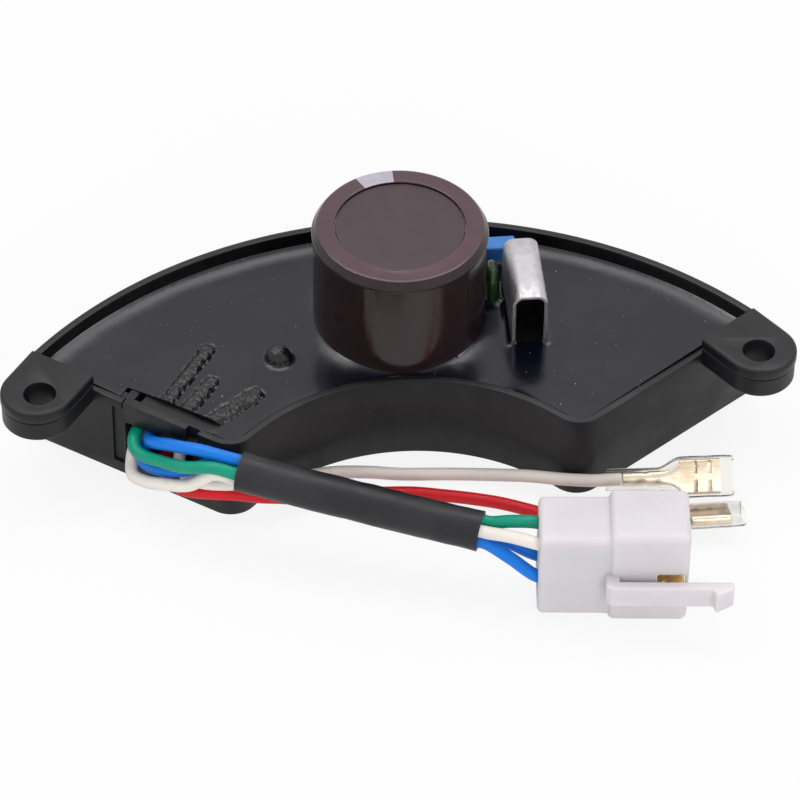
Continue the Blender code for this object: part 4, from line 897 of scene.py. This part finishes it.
CONNECTOR = Matrix.Translation((23.8, -59.4, 0)) @ Matrix.Rotation(radians(-5.5), 4, "Z")
TAB_COLUMN, TAB_ROWS, TAB_WIDTH = 3.0, (7.4, 16.6), 6.3
BODY_LENGTH, BODY_HALF = 16.3, 6.65
SHROUD_START, SHROUD_END, SHROUD_HALF, SHROUD_TOP = 14.3, 30.5, 7.4, 24.0


def bundle_point(angle, share, beyond=0.0):
    axis = flow(SLEEVE_ROUTE, 0.5 * MM)
    index = min(max(round(share * (len(axis) - 1)), 1), len(axis) - 2)
    ahead = (axis[index + 1] - axis[index - 1]).normalized()
    front = ahead.cross(Vector((0, 0, 1))).normalized()
    over = front.cross(ahead)
    turn = radians(angle - 20 + 110 * share)
    centre = axis[round(share * (len(axis) - 1))]
    return centre + (front * cos(turn) + over * sin(turn)) * 2.15 * MM + ahead * beyond


def lead_route(name):
    u, z = OUTLETS[name]
    start = [at_wall(u, LEAD_DEPTH, z), at_wall(u, LEAD_DEPTH / 2, z), at_wall(u, 1, z)]
    if name in SPADE_PLACES:
        origin, yaw = SPADE_PLACES[name][:2]
        heading = Vector((cos(yaw), sin(yaw), 0))
        end = [(origin + heading * x) * MM for x in (-8, -5, -1.9)]
        return start + [Vector(point) * MM for point in BRUSH_ROUTES[name]] + end
    angle, side, row, way_y, way_z = TO_CONNECTOR[name]
    inside = [bundle_point(angle, 0, -5 * MM)]
    inside += [bundle_point(angle, step / 8) for step in range(9)]
    inside += [bundle_point(angle, 1, 1.5 * MM)]
    end = [CONNECTOR @ Vector((-5.5, way_y, way_z + 0.7)) * MM]
    end += [CONNECTOR @ Vector((x, side * TAB_COLUMN, TAB_ROWS[row] + lift)) * MM
            for x, lift in ((-0.5, 1.5), (2.5, 0.5), (7, 0))]
    return start + [Vector(p) * MM for p in TO_SLEEVE[name]] + inside + end


def lead(name, paint):
    """One insulated lead: a single open spline with filled ends."""
    points = flow(lead_route(name), 0.8 * MM)
    curve = bpy.data.curves.new(name + "_wire", "CURVE")
    curve.dimensions = "3D"
    curve.bevel_depth = LEAD_RADIUS * MM
    curve.bevel_resolution = 6
    curve.use_fill_caps = True
    spline = curve.splines.new("POLY")
    spline.points.add(len(points) - 1)
    for node, point in zip(spline.points, points):
        node.co = (*point, 1)
    spline.use_smooth = True
    return declare(add(name + "_wire", curve), paint, (name,)), length_of(points)


def build_sleeve():
    """Soft black sleeving with slight dents, slightly flared at its cut ends."""
    points = [point / MM for point in flow(SLEEVE_ROUTE, 0.7 * MM)]
    sides = 48

    def reach(share, angle, radius):
        place = Vector((share * 9, cos(angle), sin(angle)))
        dent = noise(place * 1.3) * 0.12 + noise(place * 4) * 0.04
        return radius + dent + 0.1 * exp(-min(share, 1 - share) * 40)

    def sheath(radii):
        rings = []
        for index, radius in radii:
            ahead = (points[min(index + 1, len(points) - 1)]
                     - points[max(index - 1, 0)]).normalized()
            front = ahead.cross(Vector((0, 0, 1))).normalized()
            over = front.cross(ahead)
            ring = []
            for side in range(sides):
                angle = 2 * pi * side / sides
                out = front * cos(angle) + over * sin(angle)
                ring.append(points[index] + out * reach(index / (len(points) - 1), angle, radius))
            rings.append(ring)
        return rings

    count = len(points)
    rings = sheath([(i, SLEEVE_OUTER) for i in range(count)]
                   + [(i, SLEEVE_INNER) for i in reversed(range(count))])
    return finished(skin("sleeve_tube", rings, True), SLEEVE, ("harness_sleeve",),
                    angle=50)


def build_connector():
    """The nylon plug body: rear block, wider mouth, latch arm with its barb, and four channels."""
    body = block("plug_body", (0, -BODY_HALF, 1.0), (BODY_LENGTH, BODY_HALF, 22.5), 1.2, 5)
    shroud = block("shroud", (SHROUD_START, -SHROUD_HALF, 0),
                   (SHROUD_END, SHROUD_HALF, SHROUD_TOP), 1.5, 6)
    outline = ((13.6, -1.0), (16.4, -1.0), (16.4, 1.3), (39.5, 1.3), (39.5, 3.2), (35.9, 5.3),
               (35.2, 3.5), (14.8, 3.5), (13.6, 2.4))
    latch = soften(skin("latch", [flat([(x, -SHROUD_HALF - y) for x, y in outline], z)
                                  for z in (7.9, 13.2)]), 0.5, 4, 25)
    carve(body, shroud, latch, kind="UNION")
    bay = block("bay", (15.0, -5.9, 1.5), (32, 5.9, 22.5), 0.8)
    window = block("window", (24.0, -8.6, 8.2), (29.7, -5.0, 13.7), 0.5)
    carve(body, bay, window)
    for column in (-1, 1):
        for row in TAB_ROWS:
            y = column * TAB_COLUMN
            carve(body, block("channel", (-1, y - 2.5, row - 3.6),
                              (BODY_LENGTH, y + 2.5, row + 3.6), 0.6))
    return finished(body, NYLON, ("connector_housing",), CONNECTOR, 38)


def build_terminal(number, y, z):
    """A tab terminal: closed crimp barrel, neck, and a blade with chamfered tip and a dimple."""
    barrel = bar("barrel", (3.0, y, z), (9.5, y, z), 2.0, 40)
    half = TAB_WIDTH / 2
    blade = skin("blade", [[Vector((a, y + side, z + b)) for a, b in (
        (8.6, -1.7), (11.6, -1.9), (12.6, -half), (28.4, -half), (29.8, -2.1), (29.8, 2.1),
        (28.4, half), (12.6, half), (11.6, 1.9), (8.6, 1.7))] for side in (-0.4, 0.4)])
    carve(barrel, soften(blade, 0.12, 2, 40), kind="UNION")
    carve(barrel, bar("bore", (2, y, z), (7.4, y, z), 1.65, 32),
          bar("dimple", (26.0, y - 1, z), (26.0, y + 1, z), 0.7, 20))
    return finished(barrel, BRASS, ("tab_terminal_%d" % number,), CONNECTOR)


def oval(wide, tall, power, count, phase=0.0):
    """Points across and up on an oval: an ellipse at power 1, squarer below it."""
    for i in range(count):
        angle = 2 * pi * (i + phase) / count
        c, s = cos(angle), sin(angle)
        yield wide * copysign(abs(c) ** power, c), tall * copysign(abs(s) ** power, s)


def spade_place(name):
    origin, yaw, roll = SPADE_PLACES[name]
    return (Matrix.Translation(origin) @ Matrix.Rotation(yaw, 4, "Z")
            @ Matrix.Rotation(roll, 4, "X"))


def build_spade(name, lead_name):
    """A push-on receptacle: round crimp, smooth shoulder and a plate with rolled edges."""
    half, high, sheet = 3.7, 2.2, 0.4
    bend = 0.75
    right = [(half - bend, 0)] + arc((half - bend, bend), bend, -pi / 2, 0, 6)
    right += arc((half - bend, high - bend), bend, 0, pi / 2, 6) + [(0.7, high)]
    inner = bend - sheet
    right += [(0.7, high - sheet)] + arc((half - bend, high - bend), inner, pi / 2, 0, 4)
    right += arc((half - bend, bend), inner, 0, -pi / 2, 4)
    profile = right + [(-y, z) for y, z in reversed(right)]
    plate = skin(name + "_metal", [
        [Vector((x, y * (1 - inset / half), z * (1 - inset / high) - high / 2))
         for y, z in profile]
        for x, inset in ((10.5, 0.10), (10.6, 0.03), (10.75, 0), (18.6, 0), (18.75, 0.03),
                         (18.85, 0.10))])
    rings = []
    for x, wide, tall, low in (
            (-1.6, 1.42, 1.42, 0), (-1.5, 1.5, 1.5, 0), (-0.6, 1.5, 1.5, 0), (0.2, 1.44, 1.36, 0),
            (0.7, 1.5, 1.24, 0), (2.2, 1.5, 1.24, 0), (2.7, 1.44, 1.36, 0), (3.2, 1.35, 1.32, 0),
            (3.7, 1.44, 1.3, 0), (4.2, 1.56, 1.18, 0), (5.9, 1.56, 1.18, 0), (6.4, 1.5, 1.1, -0.1),
            (7.2, 1.45, 0.85, -0.3), (8.0, 1.5, 0.6, -0.5), (9.0, 1.9, 0.4, -0.68),
            (9.8, 2.5, 0.3, -0.78), (10.5, 2.9, 0.24, -0.84), (11.4, 3.0, 0.22, -0.86)):
        power = 1 if x < 6 else 0.75
        rings.append([Vector((x, y, low + z)) for y, z in oval(wide, tall, power, 32)])
    carve(plate, skin("crimp", rings), kind="UNION")
    for x in (13.2, 16.2):
        for side in (-1, 1):
            carve(plate, block("slot", (x, side * 2.0 - 1.35, -2.2),
                               (x + 0.9, side * 2.0 + 1.35, -0.5), 0.2, 2))
    return finished(plate, TINNED, (name,), spade_place(lead_name), 38)


COVER_WALL, COVER_ROUND, COVER_END, COVER_SIDES = 0.4, 1.1, 20.9, 56


def build_cover(name, lead_name):
    """The clear cover: a thin-walled loft from the lead's round to the spade's flat."""
    def size(x):
        t = min(max((x - 5.6) / 5.2, 0), 1)
        t = t * t * (3 - 2 * t)
        wide, tall, power = 2.3 + 2.05 * t, 2.3 - 0.6 * t, 1 - 0.55 * t
        if x > COVER_END:
            wide -= COVER_ROUND - sqrt(max(COVER_ROUND ** 2 - (x - COVER_END) ** 2, 0))
        wave = 0.05 * noise(Vector((x * 0.35, 1, 2)))
        return wide + wave, tall + wave, power

    def ring(x, inset):
        wide, tall, power = size(x)
        points = []
        for y, z in oval(wide - inset, tall - inset, power, COVER_SIDES, 0.5):
            dip = 0.35 * (1 - (y / 4.35) ** 2) if x > 21 else 0
            points.append(Vector((x - dip, y, z)))
        return points

    stops = [-5.0, -4.9] + [-4 + step for step in range(9)]
    stops += [5.4 + 0.4 * step for step in range(15)] + [12.0 + step for step in range(9)]
    stops += [COVER_END, 21.2, 21.5, 21.75, 21.92]
    cover = skin(name + "_vinyl", [ring(x, 0) for x in stops]
                 + [ring(x, COVER_WALL) for x in reversed(stops)], True)
    return finished(cover, VINYL, (name,), spade_place(lead_name), 50)


build_housing()
build_insert()
build_resin()
build_capacitor()
build_clip()
sleeve = build_sleeve()
connector = build_connector()
terminals = [build_terminal(number, side * TAB_COLUMN, TAB_ROWS[row])
             for number, side, row in ((1, -1, 0), (2, 1, 0), (3, -1, 1), (4, 1, 1))]
ends = {lead_name: [build_spade(label + "_spade", lead_name),
                    build_cover(label + "_spade_cover", lead_name)]
        for label, lead_name in (("white", "white_brush_lead"), ("red", "red_brush_lead"))}
for name, (u, z) in OUTLETS.items():
    colour = name.split("_")[0]
    wire, long = lead(name, WIRES[colour])
    going, end = ends.get(name), "fitting"
    if going is None:
        going, end = [sleeve, connector], "connector"
        if name == "green_lead":
            going += terminals


# Floor and light: the share of white that the floor adds, in all and to reflections, and the
# world's level as light on the object
FLOOR_GLOW, FLOOR_GLOSS, WORLD_LIGHT = 0.86, 0.55, 0.62


def ray_share(nodes, links, gloss):
    """1 for what the camera or a clear piece sees, gloss for a reflection, else 0."""
    ray = nodes.new("ShaderNodeLightPath").outputs
    seen = calculate(nodes, links, "MAXIMUM", ray["Is Camera Ray"], ray["Is Transmission Ray"])
    shine = calculate(nodes, links, "MULTIPLY", ray["Is Glossy Ray"], gloss)
    return calculate(nodes, links, "MAXIMUM", seen, shine)


def stage_paint():
    material = bpy.data.materials.new("stage_white")
    material.use_nodes = True
    nodes, links = material.node_tree.nodes, material.node_tree.links
    shader = dial(nodes["Principled BSDF"], Base_Color=(0.82, 0.82, 0.82, 1), Roughness=0.9,
                  Specular_IOR_Level=0.1)
    glow = dial(nodes.new("ShaderNodeEmission"), Color=(1, 1, 1, 1), Strength=1.0)
    share = calculate(nodes, links, "MULTIPLY", ray_share(nodes, links, FLOOR_GLOSS), FLOOR_GLOW)
    mix = nodes.new("ShaderNodeMixShader")
    links.new(share, mix.inputs[0])
    links.new(shader.outputs[0], mix.inputs[1])
    links.new(glow.outputs[0], mix.inputs[2])
    links.new(mix.outputs[0], nodes["Material Output"].inputs["Surface"])
    return material


made = bmesh.new()
bmesh.ops.create_grid(made, x_segments=1, y_segments=1, size=3)
mesh = bpy.data.meshes.new("floor")
made.to_mesh(mesh)
made.free()
floor = add("floor", mesh)
floor.location.z = -0.0002
mesh.materials.append(stage_paint())

world = bpy.data.worlds.new("soft_studio")
world.use_nodes = True
scene.world = world
nodes, links = world.node_tree.nodes, world.node_tree.links
background = dial(nodes["Background"], Color=(1, 1, 1, 1))
level = dial(nodes.new("ShaderNodeMapRange"), To_Min=WORLD_LIGHT, To_Max=1.0)
links.new(ray_share(nodes, links, 1.0), level.inputs["Value"])
links.new(level.outputs["Result"], background.inputs["Strength"])


def softbox(name, place, size, power, target=(0, 0, 0)):
    light = bpy.data.lights.new(name, "AREA")
    light.shape = "RECTANGLE"
    light.size, light.size_y = size
    light.energy = power
    obj = add(name, light)
    obj.location = place
    obj.rotation_euler = (Vector(place) - Vector(target)).to_track_quat("Z", "Y").to_euler()
    return obj


softbox("key_left", (-0.55, 0.15, 1.05), (0.30, 0.30), 1.0)
softbox("fill_right", (0.65, 0.1, 0.95), (0.26, 0.26), 0.8)
softbox("top_back", (0.0, 0.42, 1.1), (1.5, 0.62), 3.0)
softbox("top_back_core", (0.0, 0.40, 1.08), (1.2, 0.34), 2.0)
fill = softbox("front_fill", (0.1, -0.9, 0.5), (0.9, 0.5), 3.4, (0, -0.03, 0.01))
fill.visible_glossy = False
